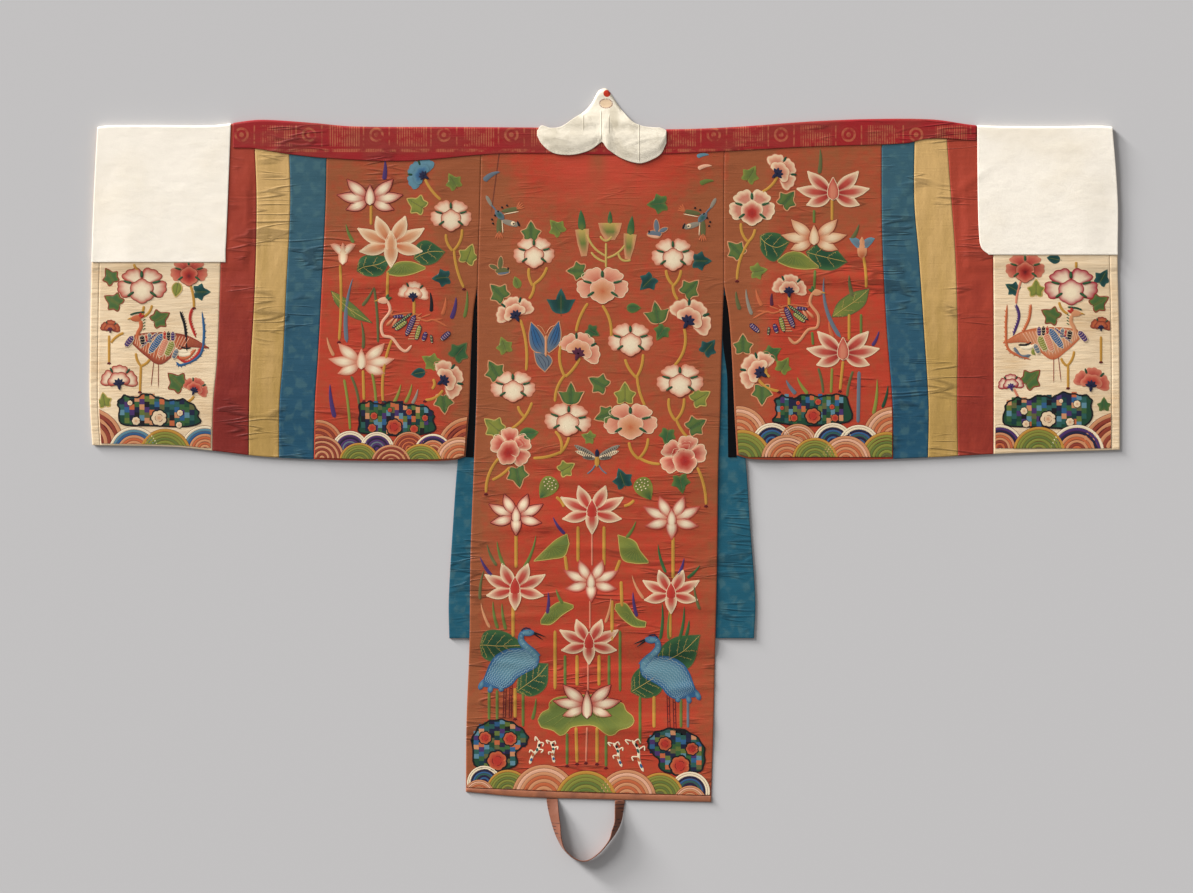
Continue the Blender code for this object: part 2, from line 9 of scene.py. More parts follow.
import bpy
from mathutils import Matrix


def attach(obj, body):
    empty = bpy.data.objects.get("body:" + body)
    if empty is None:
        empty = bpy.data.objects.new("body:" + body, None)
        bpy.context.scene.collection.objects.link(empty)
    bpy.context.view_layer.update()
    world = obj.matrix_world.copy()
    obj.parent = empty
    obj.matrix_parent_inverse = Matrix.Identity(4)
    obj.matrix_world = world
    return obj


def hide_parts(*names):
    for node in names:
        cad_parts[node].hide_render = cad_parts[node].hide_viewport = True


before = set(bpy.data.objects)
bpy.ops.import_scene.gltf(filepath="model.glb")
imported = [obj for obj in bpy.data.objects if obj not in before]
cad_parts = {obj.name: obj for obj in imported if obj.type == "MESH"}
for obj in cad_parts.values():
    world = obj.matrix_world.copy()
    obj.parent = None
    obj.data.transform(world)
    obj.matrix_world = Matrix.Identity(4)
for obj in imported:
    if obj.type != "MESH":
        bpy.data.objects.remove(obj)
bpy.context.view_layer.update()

import math

import bpy
import numpy as np
from mathutils import Vector

bl_info = {
    "name": "Korean Bridal Robe",
    "version": (1, 0, 0),
    "blender": (4, 5, 0),
    "location": "3D View > Sidebar > Robe",
    "description": "Builds an embroidered Korean bridal robe laid flat, piece by piece",
    "category": "Add Mesh",
}

# ---------------------------------------------------------------- driving dimensions
SHOULDER_Y = 0.6145           # y of the shoulder line; a place's y is this minus its drop
SEAM_DROP = 0.285             # the sleeves are sewn to the body down to here
FRONT_HEM = 0.900             # the fronts end here, well above the back's hem
NECK_HALF, NECK_TOP, NECK_DEPTH = 0.105, 0.010, 0.260
EDGE_WIDTH = 0.014            # bound strip at the open end of a sleeve
SLEEVE_LENGTH = 0.585         # of a sleeve's cloth down one side, to space its rows by
FRONT_SHORT = 0.002           # a sleeve's front hem ends this much above its back hem
CLOTH, LINING, THIN, BINDING, RIBBON = 0.0020, 0.0012, 0.0010, 0.0026, 0.0018
GAP = 0.0003                  # between pieces at their seams and between layers
FOLD_STACK = 0.0051           # height of the back layer's underside at the shoulder fold
FOLD_RADIUS = 0.0019
WRAP_RADIUS = FOLD_RADIUS + (CLOTH + THIN) / 2 + GAP
FOLD_HEIGHT = THIN + GAP + CLOTH / 2 + FOLD_RADIUS
SETTLED, RESTING = 0.055, 0.120
SLEEVE_CROWN, BODY_CROWN = 0.0020, 0.0012
BAND_FRONT = 0.045            # how far the shoulder band reaches down the front
COVER_DEPTH = {"left": 0.242, "right": 0.229}
COVER_FROM = 0.630            # from this |x| outwards the front lies on a cuff cover
FLAP_SLOPE, FLAP_CLEAR = 0.015, 0.004
LINING_DROP = 0.004
# the black strip under each arm lies in the slit between body and sleeve, where it stands in for deep shade: painted
# shade
SHADE_STRIP_TOP, SHADE_STRIP_END, SHADE_STRIP_CLEAR = 0.300, 0.583, 0.0006
SHADE_STRIP_COVERED = {"left": 0.06, "right": 0.50}
LOBE_RISE, PLEAT_RISE, BINDING_CROWN = 0.0020, 0.0015, 0.0006
SIDES = (("L", "left", -1), ("R", "right", 1))


PLAIN = ("slant", "bow", "tilt")        # the columns of a table that aren't lengths in millimetres


def rows_of(text):
    """The rows of a text, parted by commas: each a list of its words and numbers."""
    return [[item if item[0].isalpha() else float(item) for item in row.split()] for row in text.split(",")]


def table(columns, text):
    """Rows of numbers as a dictionary of named columns, with millimetres turned to metres."""
    made = dict(zip(columns.split(), np.array(rows_of(text)).T))
    return {name: values if name in PLAIN else values / 1000 for name, values in made.items()}


# ---------------------------------------------------------------- outline of the robe
# the folded top edge, from cuff to cuff
SHOULDER = table("x drop", """
    -890 5, -870 2.5, -791 2, -686 2, -616 -7, -581 -7, -511 -2, -441 4, -266 5, 0 7, 119 9, 224 5, 364 -5,
    469 -9, 574 -8, 650 2, 784 4, 868 3, 888 5""")
# |x| of each sleeve's outer edge and of the outer side of its stripes
SLEEVES = {"left": table("drop edge cuff red yellow blue", """
    0 889 672 616 556 488, 133 896 672 611 552 490, 285 901 675 614 559 497, 413 903 680 621 565 504,
    490 903 687 624 571 509, 590 897 689 625 572 511"""), "right": table("drop edge cuff red yellow blue", """
    0 886 672 595 541 483, 133 896 676 605 540 483, 230 896 678 612 548 485, 360 899 679 616 557 492,
    490 900 679 615 565 502, 590 900 679 617 564 503""")}
# |x| of the seam between body and sleeve, and below it of the three edges beside it
SEAM = table("drop left right", "0 217 208, 133 220 207, 285 224.5 207")
SLEEVE_INNER = table("drop left right", """
    285 225 207.5, 330 231.5 215, 413 236 221, 500 239 225, 590 246 230""")
BODY_SIDE = table("drop left right", """
    285 224.5 206.8, 413 225 202.5, 500 227 200.5, 600 231 197, 763 237 195, 903 238.5 192, 1043 244 189,
    1176 245 185""")
FRONT_SIDE = table("drop left right", """
    285 224.5 207.5, 413 239 224, 588 259 245, 693 267 252, 833 275 262, 900 274 259.5""")
HEMS = {"left": table("x drop", """
    -899 562, -756 565, -686 572, -600 582, -476 588, -336 590, -266 588, -243 581"""), "right": table("x drop", """
    226 579, 259 587, 434 588, 574 583, 714 576, 900 570""")}
BACK_HEM = table("x drop", "-245 1162, -147 1166, -10 1171, 185 1176")
BINDING_HEM = table("x drop", "-245 1169, -147 1178, -20 1182, 185 1187")
# lower edge of the shoulder band on the back
BAND_EDGE = table("x drop", """
    -652 42, -616 43, -554 53, -486 60, -353 65, -183 52, 42 54, 165 50, 357 40, 524 34, 564 26, 648 29""")
COVER_INNER = table("drop left right", """
    0 656 650, 133 661 651, 205 664 654, 220 665 659, 229 665 670, 242 665 671""")
# the collar cover, from the tip of one lobe over the peak to the other
COLLAR_COVER = table("x top bottom", """
    -120 12 21, -113 3 34, -96 7 49, -77 4 54, -56 -10 54, -38 -22 50, -24 -38 44, -13 -58 36, -6 -62 32,
    2 -62 43, 11 -50 50, 27 -26 60, 46 -5 67, 62 3 69, 80 6 63, 97 7 52, 106 12 34""")
# half width of the collar, from under the peak down to the point of the V
COLLAR = table("half drop", """
    3.5 -52, 12 -35, 22 -20, 38 -5, 62 8, 94 20, 1.5 256""")
# the hanging loop: a ribbon flat at the hem and up on its edge round the bend
LOOP = table("x drop width tilt", """
    -94 1182 19.5 0, -91 1204 19.5 26, -86.5 1227 19 41, -81.5 1249 18 64, -72 1270 16.5 80, -53 1286 15.5 82,
    -33 1289 15 84, -11.5 1275.5 15.5 83, 6.5 1254 16.5 80, 15 1237 18 60, 21.5 1219 18.5 49, 24.8 1184.5 18 14""")
# soft ridges that lie across the robe
FOLDS = table("x drop reach width rise", """
    -430 268 110 16 1.1, -700 300 150 22 .8, 420 272 120 16 1.1, 720 320 150 22 .8, 20 160 60 50 1.2,
    -100 565 130 18 1.5, 90 615 140 18 1.5, -60 693 150 20 1.4, 50 830 160 22 1.5, -90 985 150 24 2.4,
    80 1060 130 24 2.4""")
# sharper creases in the silk: each a bell across its width, on a line that slants and bows
CREASES = table("x drop reach width rise slant bow", """
    -435 212 50 5.8 .7 .1 .8, -440 228 55 6.5 -.7 .12 .6, -430 246 60 5.8 .8 .05 .9, -450 262 55 6.5 -.8 -.05 .7,
    -420 283 60 6.5 .8 -.08 .5, -330 275 50 5.8 .6 -.15 .3, 440 225 50 5.8 .7 -.1 .6, 430 245 55 6.5 -.7 -.06 .7,
    420 268 60 6.5 .8 .04 .7, 400 288 55 5.8 -.6 .1 .5, 330 262 45 5.8 .6 .12 .3, -140 590 60 6.5 .8 .02 .3,
    120 582 55 6.5 -.7 -.04 .4, -60 625 90 7.2 .9 .03 -.3, 100 640 70 6.5 .8 -.05 .5, -170 655 50 6.5 -.7 .05 .4,
    20 668 80 7.2 .8 .02 .4, -120 705 70 6.5 .9 -.04 .3, 110 716 60 6.5 -.7 .06 .4, 0 742 90 7.2 .8 .03 -.4,
    -170 772 55 6.5 .8 .08 .5, 80 786 80 6.5 .9 -.03 .4, -60 812 80 7.2 -.8 .04 .3, 140 846 50 6.5 .8 .05 .5,
    -150 862 60 6.5 .9 -.04 .4, 30 884 90 7.2 .8 .02 .3, -100 906 80 6.5 -.8 .05 .5, 120 925 60 6.5 1 -.06 .4,
    -190 942 45 7.2 1 .1 .6, -10 958 90 7.2 .9 -.02 .4, 150 985 40 7.2 1 -.08 .6, -130 1010 80 7.2 1.1 .06 .5,
    60 1024 80 7.2 -.9 .04 .4, -200 1045 40 7.2 .9 .05 .5, 0 1060 90 8 1 -.04 .4, 150 1085 40 7.2 .9 .06 .5,
    -80 1098 90 7.2 .9 .03 .4, -590 400 30 8.7 .8 .3 0, 632 105 30 8.7 .8 -.7 0, 640 480 30 7.2 .7 .1 0,
    -650 190 30 8.7 .7 .6 0, -645 475 30 7.2 .7 -.1 0, -520 70 30 8.7 .9 .9 0, -575 190 18 9 .6 .9 0,
    520 120 30 8.7 .7 -.6 0, 575 310 22 7 .6 .5 0""")


# ---------------------------------------------------------------- curves and heights
def curve(rows, name, key="drop", sign=1.0):
    """A smooth line through a table's points: on each span a cubic whose slope at a point
    is that between the point's two neighbours."""
    places, values = rows[key], sign * rows[name]
    last = len(places) - 1
    before = np.maximum(np.arange(last + 1) - 1, 0)
    after = np.minimum(np.arange(last + 1) + 1, last)
    slopes = (values[after] - values[before]) / (places[after] - places[before])

    def value(at):
        at = np.clip(at, places[0], places[-1])
        start = np.clip(np.searchsorted(places, at) - 1, 0, last - 1)
        span = places[start + 1] - places[start]
        s = (at - places[start]) / span
        return (values[start] * (1 + 2 * s) * (1 - s) ** 2 + slopes[start] * span * s * (1 - s) ** 2
                + values[start + 1] * s * s * (3 - 2 * s) - slopes[start + 1] * span * s * s * (1 - s))
    return value


def ramp(value, start, end):
    """Smooth step from 0 at start to 1 at end: three squares less two cubes of the share."""
    t = np.clip((value - start) / (end - start), 0.0, 1.0)
    return t * t * (3 - 2 * t)


def mix(a, b, share):
    return a + (b - a) * share


def bell(value):
    """One at nought, falling away as the exponential of minus the square."""
    return np.exp(-value * value)


shoulder = curve(SHOULDER, "drop", "x")
back_hem = curve(BACK_HEM, "drop", "x")
binding_hem = curve(BINDING_HEM, "drop", "x")
band_edge = curve(BAND_EDGE, "drop", "x")


def front_height(x, drop):
    """Underside of the front layer: on the surface, or on what is folded round from the back."""
    covered = ramp(np.abs(x), COVER_FROM - FLAP_SLOPE, COVER_FROM)
    reach = mix(BAND_FRONT, COVER_DEPTH["left"], covered) + FLAP_CLEAR
    return (THIN + GAP) * (1 - ramp(drop, reach, reach + FLAP_SLOPE))


def ridges(rows, x, drop):
    """All the rows of a table together: each a bell across its width that fades along its reach."""
    rise = np.zeros(np.broadcast(x, drop).shape)
    slants, bows = rows.get("slant", rows["rise"] * 0), rows.get("bow", rows["rise"] * 0)
    each = zip(rows["x"], rows["drop"], rows["reach"], rows["width"], rows["rise"], slants, bows)
    for middle, level, reach, width, height, slant, bow in each:
        along = x - middle
        across = drop - level - slant * along - bow * along * along
        rise += height * bell(across / width) * bell(along / reach)
    return rise


def crown(x, drop):
    """How far the back layer stands off what is under it: a soft crown, folds and creases."""
    out = np.abs(x)
    sleeve = SLEEVE_CROWN * ramp(out, 0.235, 0.330) * ramp(out, 0.895, 0.830) * ramp(drop, 0.565, 0.490)
    body = BODY_CROWN * ramp(out, 0.205, 0.100) * ramp(drop, 0.900, 0.700)
    hem = ramp(drop, 1.150, 1.080)
    edge = np.where((drop > SEAM_DROP) & (out < 0.25), ramp(out, 0.225, 0.190), 1.0)
    return sleeve + body + ridges(FOLDS, x, drop) * hem * edge * ramp(out, 0.895, 0.850)


def back_height(x, drop):
    """Underside of the back layer: over the front layer, and on the surface below the fronts."""
    lining = (LINING + GAP) * ramp(np.abs(x), 0.335, 0.285)
    under = front_height(x, drop) + CLOTH + GAP + lining
    under = under * ramp(drop, FRONT_HEM + 0.042, FRONT_HEM + 0.004)
    return mix(FOLD_STACK, under + crown(x, drop), ramp(drop, SETTLED, RESTING))


def creased(x, drop):
    """How far the sharper creases lift or sink the upper face of the back layer."""
    return np.maximum(ridges(CREASES, x, drop) * robe_sizes().crease_depth, -back_height(x, drop))


def silk_top(x, drop):
    """Upper face of the silk on the back, which the embroidery lies on."""
    return back_height(x, drop) + CLOTH + creased(x, drop)


# ---------------------------------------------------------------- sheets of cloth
def robe_sizes():
    return bpy.context.scene.robe_sizes


def robe_colours():
    return bpy.context.scene.robe_colours


def spaced(length, step, rim=0.0035):
    """Shares of a length: even steps inside, and closer ones where the edge is rounded."""
    close = np.array([0.0, 0.12, 0.40, 0.72]) * rim / length
    inner = np.linspace(rim / length, 1 - rim / length, max(2, round((length - 2 * rim) / step) + 1))
    return np.concatenate([close, inner, 1 - close[::-1]])


def grid(across, along):
    """Shares across and along a sheet, from a length and a step each way."""
    return np.meshgrid(spaced(*across), spaced(*along))


def travelled(points, axis):
    """Length walked along one direction of a grid, from its start."""
    steps = np.linalg.norm(np.diff(points, axis=axis), axis=2)
    start = np.zeros_like(np.take(steps, [0], axis=axis))
    return np.concatenate([start, np.cumsum(steps, axis=axis)], axis=axis)


def normals_of(points):
    """At each place of a grid the cross product of its two directions, made one long."""
    across = np.gradient(points, axis=1)
    along = np.gradient(points, axis=0)
    normal = np.cross(across, along)
    return normal / np.maximum(np.linalg.norm(normal, axis=2, keepdims=True), 1e-12)


def make_object(name, points, faces, finish):
    """A mesh object at the origin, with smooth faces."""
    mesh = bpy.data.meshes.new(name)
    mesh.from_pydata(points.tolist(), [], faces if isinstance(faces, list) else faces.tolist())
    mesh.polygons.foreach_set("use_smooth", np.ones(len(mesh.polygons), bool))
    mesh.update()
    mesh.materials.append(finish)
    thing = bpy.data.objects.new(name, mesh)
    bpy.context.scene.collection.objects.link(thing)
    return thing


def shell(name, points, wall, finish, rim=0.0030):
    """A sheet closed into a thin shell: the grid moved half a wall to either side along its
    normals, thinner towards its edges as a quarter round, and joined by strips of faces."""
    rows, columns = points.shape[:2]
    nearest = np.full((rows, columns), np.inf)
    for axis in (0, 1):
        walked = travelled(points, axis)
        nearest = np.minimum(nearest, np.minimum(walked, np.take(walked, [-1], axis=axis) - walked))
    k = np.clip(nearest / rim, 0.0, 1.0)
    half = wall / 2 * (0.35 + 0.65 * np.sqrt(1 - (1 - k) ** 2))
    lift = normals_of(points) * half[..., None]
    both = np.concatenate([(points + lift).reshape(-1, 3), (points - lift).reshape(-1, 3)])
    index = np.arange(rows * columns).reshape(rows, columns)
    other = index + rows * columns
    quads = np.stack([index[:-1, :-1], index[:-1, 1:], index[1:, 1:], index[1:, :-1]], axis=-1)
    under = np.stack([other[:-1, :-1], other[1:, :-1], other[1:, 1:], other[:-1, 1:]], axis=-1)
    strips = []
    for near, far, turned in ((index[0], other[0], False), (index[-1], other[-1], True),
                              (index[:, 0], other[:, 0], True), (index[:, -1], other[:, -1], False)):
        strip = np.stack([near[:-1], far[:-1], far[1:], near[1:]], axis=-1)
        strips.append(strip[:, ::-1] if turned else strip)
    faces = np.concatenate([quads.reshape(-1, 4), under.reshape(-1, 4), *strips])
    return make_object(name, both, faces, finish)


def cut_size(points):
    """The flat width, length and area of a sheet's middle surface."""
    width = travelled(points, 1)[:, -1].max()
    length = travelled(points, 0)[-1].max()
    across = np.diff(points, axis=1)[:-1]
    along = np.diff(points, axis=0)[:, :-1]
    area = np.linalg.norm(np.cross(across, along), axis=2).sum()
    return round(float(width), 3), round(float(length), 3), round(float(area), 4)


def lay_sheet(name, node, points, wall, cloth, rim=0.0030):
    """Makes a sheet, which stands for its solid and rides with the robe, and works out its cut."""
    sheet = shell(name, points, wall, finish_named(cloth), rim)
    width, length, area = cut_size(points)
    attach(sheet, "root")
    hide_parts(node)


def settled(left, right, u, drop_at, tries=5):
    """The x and drop where the line a share u of the way between two edges meets a row."""
    drop = drop_at(np.zeros_like(u))
    for _ in range(tries):
        x = mix(left(drop), right(drop), u)
        drop = drop_at(x)
    return x, drop


def placed(x, drop, height):
    return np.stack(np.broadcast_arrays(x, SHOULDER_Y - drop, height), axis=-1)


def fold_start(x):
    """Drop at which the layers leave the flat and turn round the shoulder."""
    return shoulder(x) + THIN / 2 + WRAP_RADIUS


def round_fold(x, turn, radius):
    """Round the shoulder fold in a half circle: turn runs from 0, under, to 1, on top."""
    angle = np.pi * turn
    return placed(x, fold_start(x) - radius * np.sin(angle), FOLD_HEIGHT - radius * np.cos(angle))


def side_curves(rows, side, shift=0.0):
    """The edge on one side as a signed x: the seam above, and its own line below."""
    sign = -1 if side == "left" else 1
    upper, lower = curve(SEAM, side, sign=sign), curve(rows, side, sign=sign)
    return lambda drop: np.where(drop <= SEAM_DROP, upper(drop), lower(drop)) + shift


def moved(edge, shift):
    return lambda drop: edge(drop) + shift


def level(drop):
    """A row at the same drop all the way across."""
    return lambda x: np.full_like(x, drop)


def between_rows(first, last, share):
    return lambda x: mix(first(x), last(x), share)


def sleeve_lines(side):
    """The lines between a sleeve's pieces, from the body's seam to the open end."""
    rows, sign = SLEEVES[side], -1 if side == "left" else 1
    outer = curve(rows, "edge", sign=sign)
    stripes = [curve(rows, name, sign=sign) for name in ("blue", "yellow", "red", "cuff")]
    return [side_curves(SLEEVE_INNER, side)] + stripes + [moved(outer, -sign * EDGE_WIDTH), outer]


def folded(back_edges, front_edges, hem, width, step, puckers=None):
    """A sleeve piece in one length: up the front, round the shoulder and down the back."""
    across = spaced(width, step)
    u, v = np.meshgrid(across, spaced(SLEEVE_LENGTH, 0.020))
    x, drop = settled(*front_edges, u, between_rows(moved(hem, -FRONT_SHORT), fold_start, v))
    lower = placed(x, drop, front_height(x, drop) + CLOTH / 2)
    u, v = np.meshgrid(across, np.linspace(0, 1, 9)[1:-1])
    x, _ = settled(*back_edges, u, shoulder)
    turn = round_fold(x, v, FOLD_RADIUS)
    u, v = np.meshgrid(across, spaced(SLEEVE_LENGTH, step))
    x, drop = settled(*back_edges, u, between_rows(fold_start, hem, v))
    height = back_height(x, drop) + CLOTH / 2 + creased(x, drop)
    if puckers:
        height = height + puckers(u, drop)
    return np.concatenate([lower, turn, placed(x, drop, height)])


def wrapped(near, far, width, front_drop, back_edge, length, step=0.004):
    """Cloth folded over the shoulder outside the robe's own fold."""
    across = spaced(width, step)
    u, v = np.meshgrid(across, spaced(front_drop, 0.012))
    x, drop = settled(near, far, u, between_rows(level(front_drop), fold_start, v))
    lower = placed(x, drop, np.full_like(x, THIN / 2))
    u, v = np.meshgrid(across, np.linspace(0, 1, 11)[1:-1])
    x, _ = settled(near, far, u, shoulder)
    turn = round_fold(x, v, WRAP_RADIUS)
    u, v = np.meshgrid(across, spaced(length, step))
    x, drop = settled(near, far, u, between_rows(fold_start, back_edge, v))
    return np.concatenate([lower, turn, placed(x, drop, silk_top(x, drop) + GAP + THIN / 2)])


# ---------------------------------------------------------------- shader sums
def plug(tree, socket, value):
    """Puts a link or a number into a node's socket."""
    if isinstance(value, Wire):
        tree.links.new(value.socket, socket)
    elif hasattr(socket.default_value, "__len__") and hasattr(value, "__len__"):
        socket.default_value = [*value, 1.0][:len(socket.default_value)]
    else:
        socket.default_value = value


def add_node(tree, kind, settings=None, inputs=None, output=0):
    """One node: its settings first, then the values or links of its sockets."""
    node = tree.nodes.new(kind)
    for name, value in (settings or {}).items():
        setattr(node, name, value)
    for name, value in (inputs or {}).items():
        plug(tree, node.inputs[name], value)
    return Wire(tree, node.outputs[output])


def sums(operation, turned=False):
    """A method that adds one Math node, with its two sides turned round when they are reflected."""
    return lambda *items: items[0].sum(operation, *(items[::-1] if turned else items))


class Wire:
    """A node's output that can be used in sums, each of which adds its Math node."""

    def __init__(self, tree, socket):
        self.tree, self.socket = tree, socket

    def sum(self, operation, *items, clamp=False):
        settings = {"operation": operation, "use_clamp": clamp}
        return add_node(self.tree, "ShaderNodeMath", settings, dict(enumerate(items)))

    __add__ = __radd__ = sums("ADD")
    __sub__, __rsub__ = sums("SUBTRACT"), sums("SUBTRACT", True)
    __mul__ = __rmul__ = sums("MULTIPLY")
    __truediv__, __pow__ = sums("DIVIDE"), sums("POWER")
    sine, size, part = sums("SINE"), sums("ABSOLUTE"), sums("FRACT")

    def clamped(self):
        return self.sum("ADD", self, 0.0, clamp=True)

    def ramp(self, start, end):
        """Smooth step from 0 at start to 1 at end, which may also be the lower of the two."""
        inputs = {"Value": self, "From Min": start, "From Max": end}
        return add_node(self.tree, "ShaderNodeMapRange", {"interpolation_type": "SMOOTHSTEP"}, inputs, "Result")


class Finish:
    """A procedural material on Object coordinates."""

    def __init__(self, name, **constants):
        self.material = bpy.data.materials.new(name)
        self.material.use_nodes = True
        self.tree = self.material.node_tree
        self.set(**constants)
        self.place = self.node("ShaderNodeTexCoord", output="Object")
        self.x, y = (self.node("ShaderNodeSeparateXYZ", inputs={0: self.place}, output=axis) for axis in "XY")
        self.drop = SHOULDER_Y - y

    def node(self, kind, settings=None, inputs=None, output=0):
        return add_node(self.tree, kind, settings, inputs, output)

    def set(self, **values):
        """Sets the shader's sockets; an underscore in a name stands for a space."""
        for name, value in values.items():
            plug(self.tree, self.tree.nodes["Principled BSDF"].inputs[name.replace("_", " ")], value)

    def noise(self, x, y=None, detail=3.0, turn=0.0):
        """Soft noise from about 0.3 to 0.7, with x and y patterns to a metre."""
        y = y or x
        inputs = {"Vector": self.place, "Scale": (x, y, (x + y) / 2), "Rotation": (0.0, 0.0, turn)}
        inputs = {0: self.node("ShaderNodeMapping", inputs=inputs), "Scale": 1.0, "Detail": detail, "Roughness": 0.55}
        return self.node("ShaderNodeTexNoise", inputs=inputs)

    def blend(self, first, second, share):
        settings = {"data_type": "RGBA", "clamp_factor": True}
        return self.node("ShaderNodeMix", settings, {0: share, 6: first, 7: second}, 2)

    def tint(self, colour, dark, light, share):
        """A colour moved between two brightnesses by a share."""
        inputs = {0: colour, "Scale": share * (light - dark) + dark}
        return self.node("ShaderNodeVectorMath", {"operation": "SCALE"}, inputs)

    def wear(self, colour, roughness, *reliefs):
        """Gives the shader its colour and roughness, and stacks (height, distance) pairs into its normal."""
        self.set(Base_Color=colour, Roughness=roughness)
        under = {}
        for height, distance in reliefs:
            inputs = {"Height": height, "Distance": distance, "Strength": 1.0, **under}
            under = {"Normal": self.node("ShaderNodeBump", inputs=inputs)}
        self.set(**under)
        return self


def linear(colour):
    """A colour of 0 to 255 in screen values, as the light it stands for."""
    c = np.array(colour, float) / 255
    return tuple(np.where(c <= 0.04045, c / 12.92, ((c + 0.055) / 1.055) ** 2.4).tolist())


def weave(finish, pitch=0.0009):
    """Threads over and under: the product of a sine across and a sine along."""
    return (finish.x * (math.tau / pitch)).sine() * (finish.drop * (math.tau / pitch)).sine()


def wrinkles(finish, x=6, y=48, turn=0.04):
    """Thin uneven creases: lines along which a soft noise passes its middle, worn away in places."""
    return (finish.noise(x, y, 1, turn) - 0.5).size().ramp(0.035, 0.0) * finish.noise(11, 16, 1).ramp(0.48, 0.66)


def silk_finish(name, colour_of, roughness=0.42, sheen=0.10, creasing=0.0016, stretch=(9, 26)):
    """Satin: its colour, slubs along the weft, a soft sheen and small creases across, with painted shade along the
    creases.
    """
    finish = Finish(name, Sheen_Weight=sheen, Sheen_Roughness=0.45, Specular_IOR_Level=0.35)
    slubs, small = finish.noise(18, 420, 2), finish.noise(*stretch, turn=0.03)
    slack = (finish.drop.ramp(0.40, 0.85) + finish.x.size().ramp(0.30, 0.44)).clamped() * 0.7 + 0.3
    lines = (wrinkles(finish) + wrinkles(finish, 5, 30, 0.22) + wrinkles(finish, 5, 26, -0.25)).clamped() * slack
    # the crease lines darken the colour to 70 %: painted shade in the creases
    colour = finish.tint(finish.tint(colour_of(finish), 0.95, 1.05, slubs), 1.0, 0.70, lines)
    reliefs = (small, creasing), (lines, 0.0008), (slubs, 0.0002), (weave(finish), 0.00003)
    return finish.wear(colour, (slubs - 0.5) * 0.35 + roughness, *reliefs)


# ---------------------------------------------------------------- finishes of the robe
def robe_red(finish):
    """The red ground: brown with age at the top, beside the seams and under the arms, with painted shade of two soft
    folds below the collar.
    """
    tones, x, drop, out = robe_colours(), finish.x, finish.drop, finish.x.size()
    on_body = out.ramp(0.125, 0.205) * 0.6 + (drop.ramp(0.05, 0.15) * 0.62 - drop.ramp(0.46, 0.72) * 0.46)
    on_sleeve = out.ramp(0.315, 0.235) * 0.95 + drop.ramp(0.34, 0.15) * 0.60 + 0.16
    mottled = (finish.noise(9, 7) - 0.5) * 1.1 + (finish.noise(75, 90, 1) - 0.5) * 0.9
    aged = on_sleeve + (on_body - on_sleeve) * out.ramp(0.226, 0.212) + mottled
    shade = finish.blend(tones.red, tones.aged_red_and_fold_shade, aged.clamped())
    shade = finish.blend(shade, tones.bright_red, drop.ramp(0.17, 0.06) * out.ramp(0.13, 0.05) * 0.8)
    # painted shade: two soft vertical folds below the collar, darkened towards the aged red
    folds = (x + 0.014).size().ramp(0.024, 0.0) + (x - 0.046).size().ramp(0.022, 0.0)
    folds = folds * drop.ramp(0.13, 0.06) * finish.noise(30, 12).ramp(0.3, 0.6)
    seam = (x + 0.1793 + drop * 0.135).size().ramp(0.0018, 0.0004) * drop.ramp(0.165, 0.14)
    return finish.blend(finish.blend(shade, tones.aged_red_and_fold_shade, folds * 0.75), linear((92, 40, 28)), seam * 0.8)


def stripe_of(first, second, cloud=0.35, scale=(22, 14), kept=0.0):
    """A plain silk that turns from one colour at the shoulder to another at the hem."""
    def colour(finish):
        share = finish.drop.ramp(0.05, 0.56) + (finish.noise(*scale) - 0.5) * cloud * 4
        return finish.blend(first, second, (share - finish.x.ramp(0.0, 0.1) * kept).clamped())
    return colour


def damask_of(first, second, bloom):
    """A figured silk: soft scrolls, a shade lighter than the ground, in rows."""
    def colour(finish):
        ground = finish.blend(first, second, finish.drop.ramp(0.05, 0.58))
        twist = (finish.noise(26) - 0.5) * 7.0
        scroll = (finish.x * 190 + twist).sine() * (finish.drop * 150 + twist).sine()
        return finish.blend(ground, bloom, scroll.ramp(-0.30, 0.50) * finish.noise(60).ramp(0.36, 0.62) * 0.40)
    return colour


def gold_leaf(finish):
    """Worn gold leaf on crimson: ruled blocks and ringed rounds by turns, over a ruled border."""
    tones, down = robe_colours(), finish.drop
    worn, repeat = finish.noise(70, 90, 5).ramp(0.36, 0.60), 0.118
    step = (finish.x / repeat + 0.16).part()
    inside = down.ramp(0.001, 0.004) * down.ramp(0.041, 0.038)
    block = step.ramp(0.04, 0.06) * step.ramp(0.52, 0.50)
    ruled = (finish.x * (math.tau / 0.0042)).sine().ramp(-0.4, 0.3)
    dx, dy = (step - 0.76) * repeat, down - 0.019
    radius = (dx * dx + dy * dy) ** 0.5
    rings = (radius * (math.tau / 0.0085)).sine().ramp(-0.3, 0.4) * radius.ramp(0.0175, 0.0165)
    frame_line = (dx.size() - 0.0225).size().ramp(0.0018, 0.0006)
    border = (down - 0.0465).size().ramp(0.0034, 0.0024) * (0.55 + ruled * 0.45)
    gold = (inside * (block * ruled + rings + frame_line) + border).clamped() * worn
    ground = finish.blend(tones.crimson, tones.crimson_worn, finish.noise(16, 30).ramp(0.35, 0.65))
    return finish.blend(ground, tones.gold, gold * 0.45)


def cotton_weave(finish, colour, small, *reliefs):
    """Matt cotton: a colour with a little grain, and a plain weave over its reliefs."""
    grained = finish.tint(colour, 0.97, 1.03, small)
    return finish.wear(grained, (small - 0.5) * 0.2 + 0.86, *reliefs, (weave(finish, 0.0007), 0.00004))


def cotton_finish(tones):
    """White cotton: soft creases and a little yellowing."""
    finish = Finish("White cotton", Sheen_Weight=0.12, Specular_IOR_Level=0.25)
    clouds, small = finish.noise(7, 9), finish.noise(28, 60, 5)
    colour = finish.blend(tones.white, tones.white_aged, clouds.ramp(0.42, 0.75) * 0.55)
    return cotton_weave(finish, colour, small, (clouds, 0.0022), (small, 0.0006))


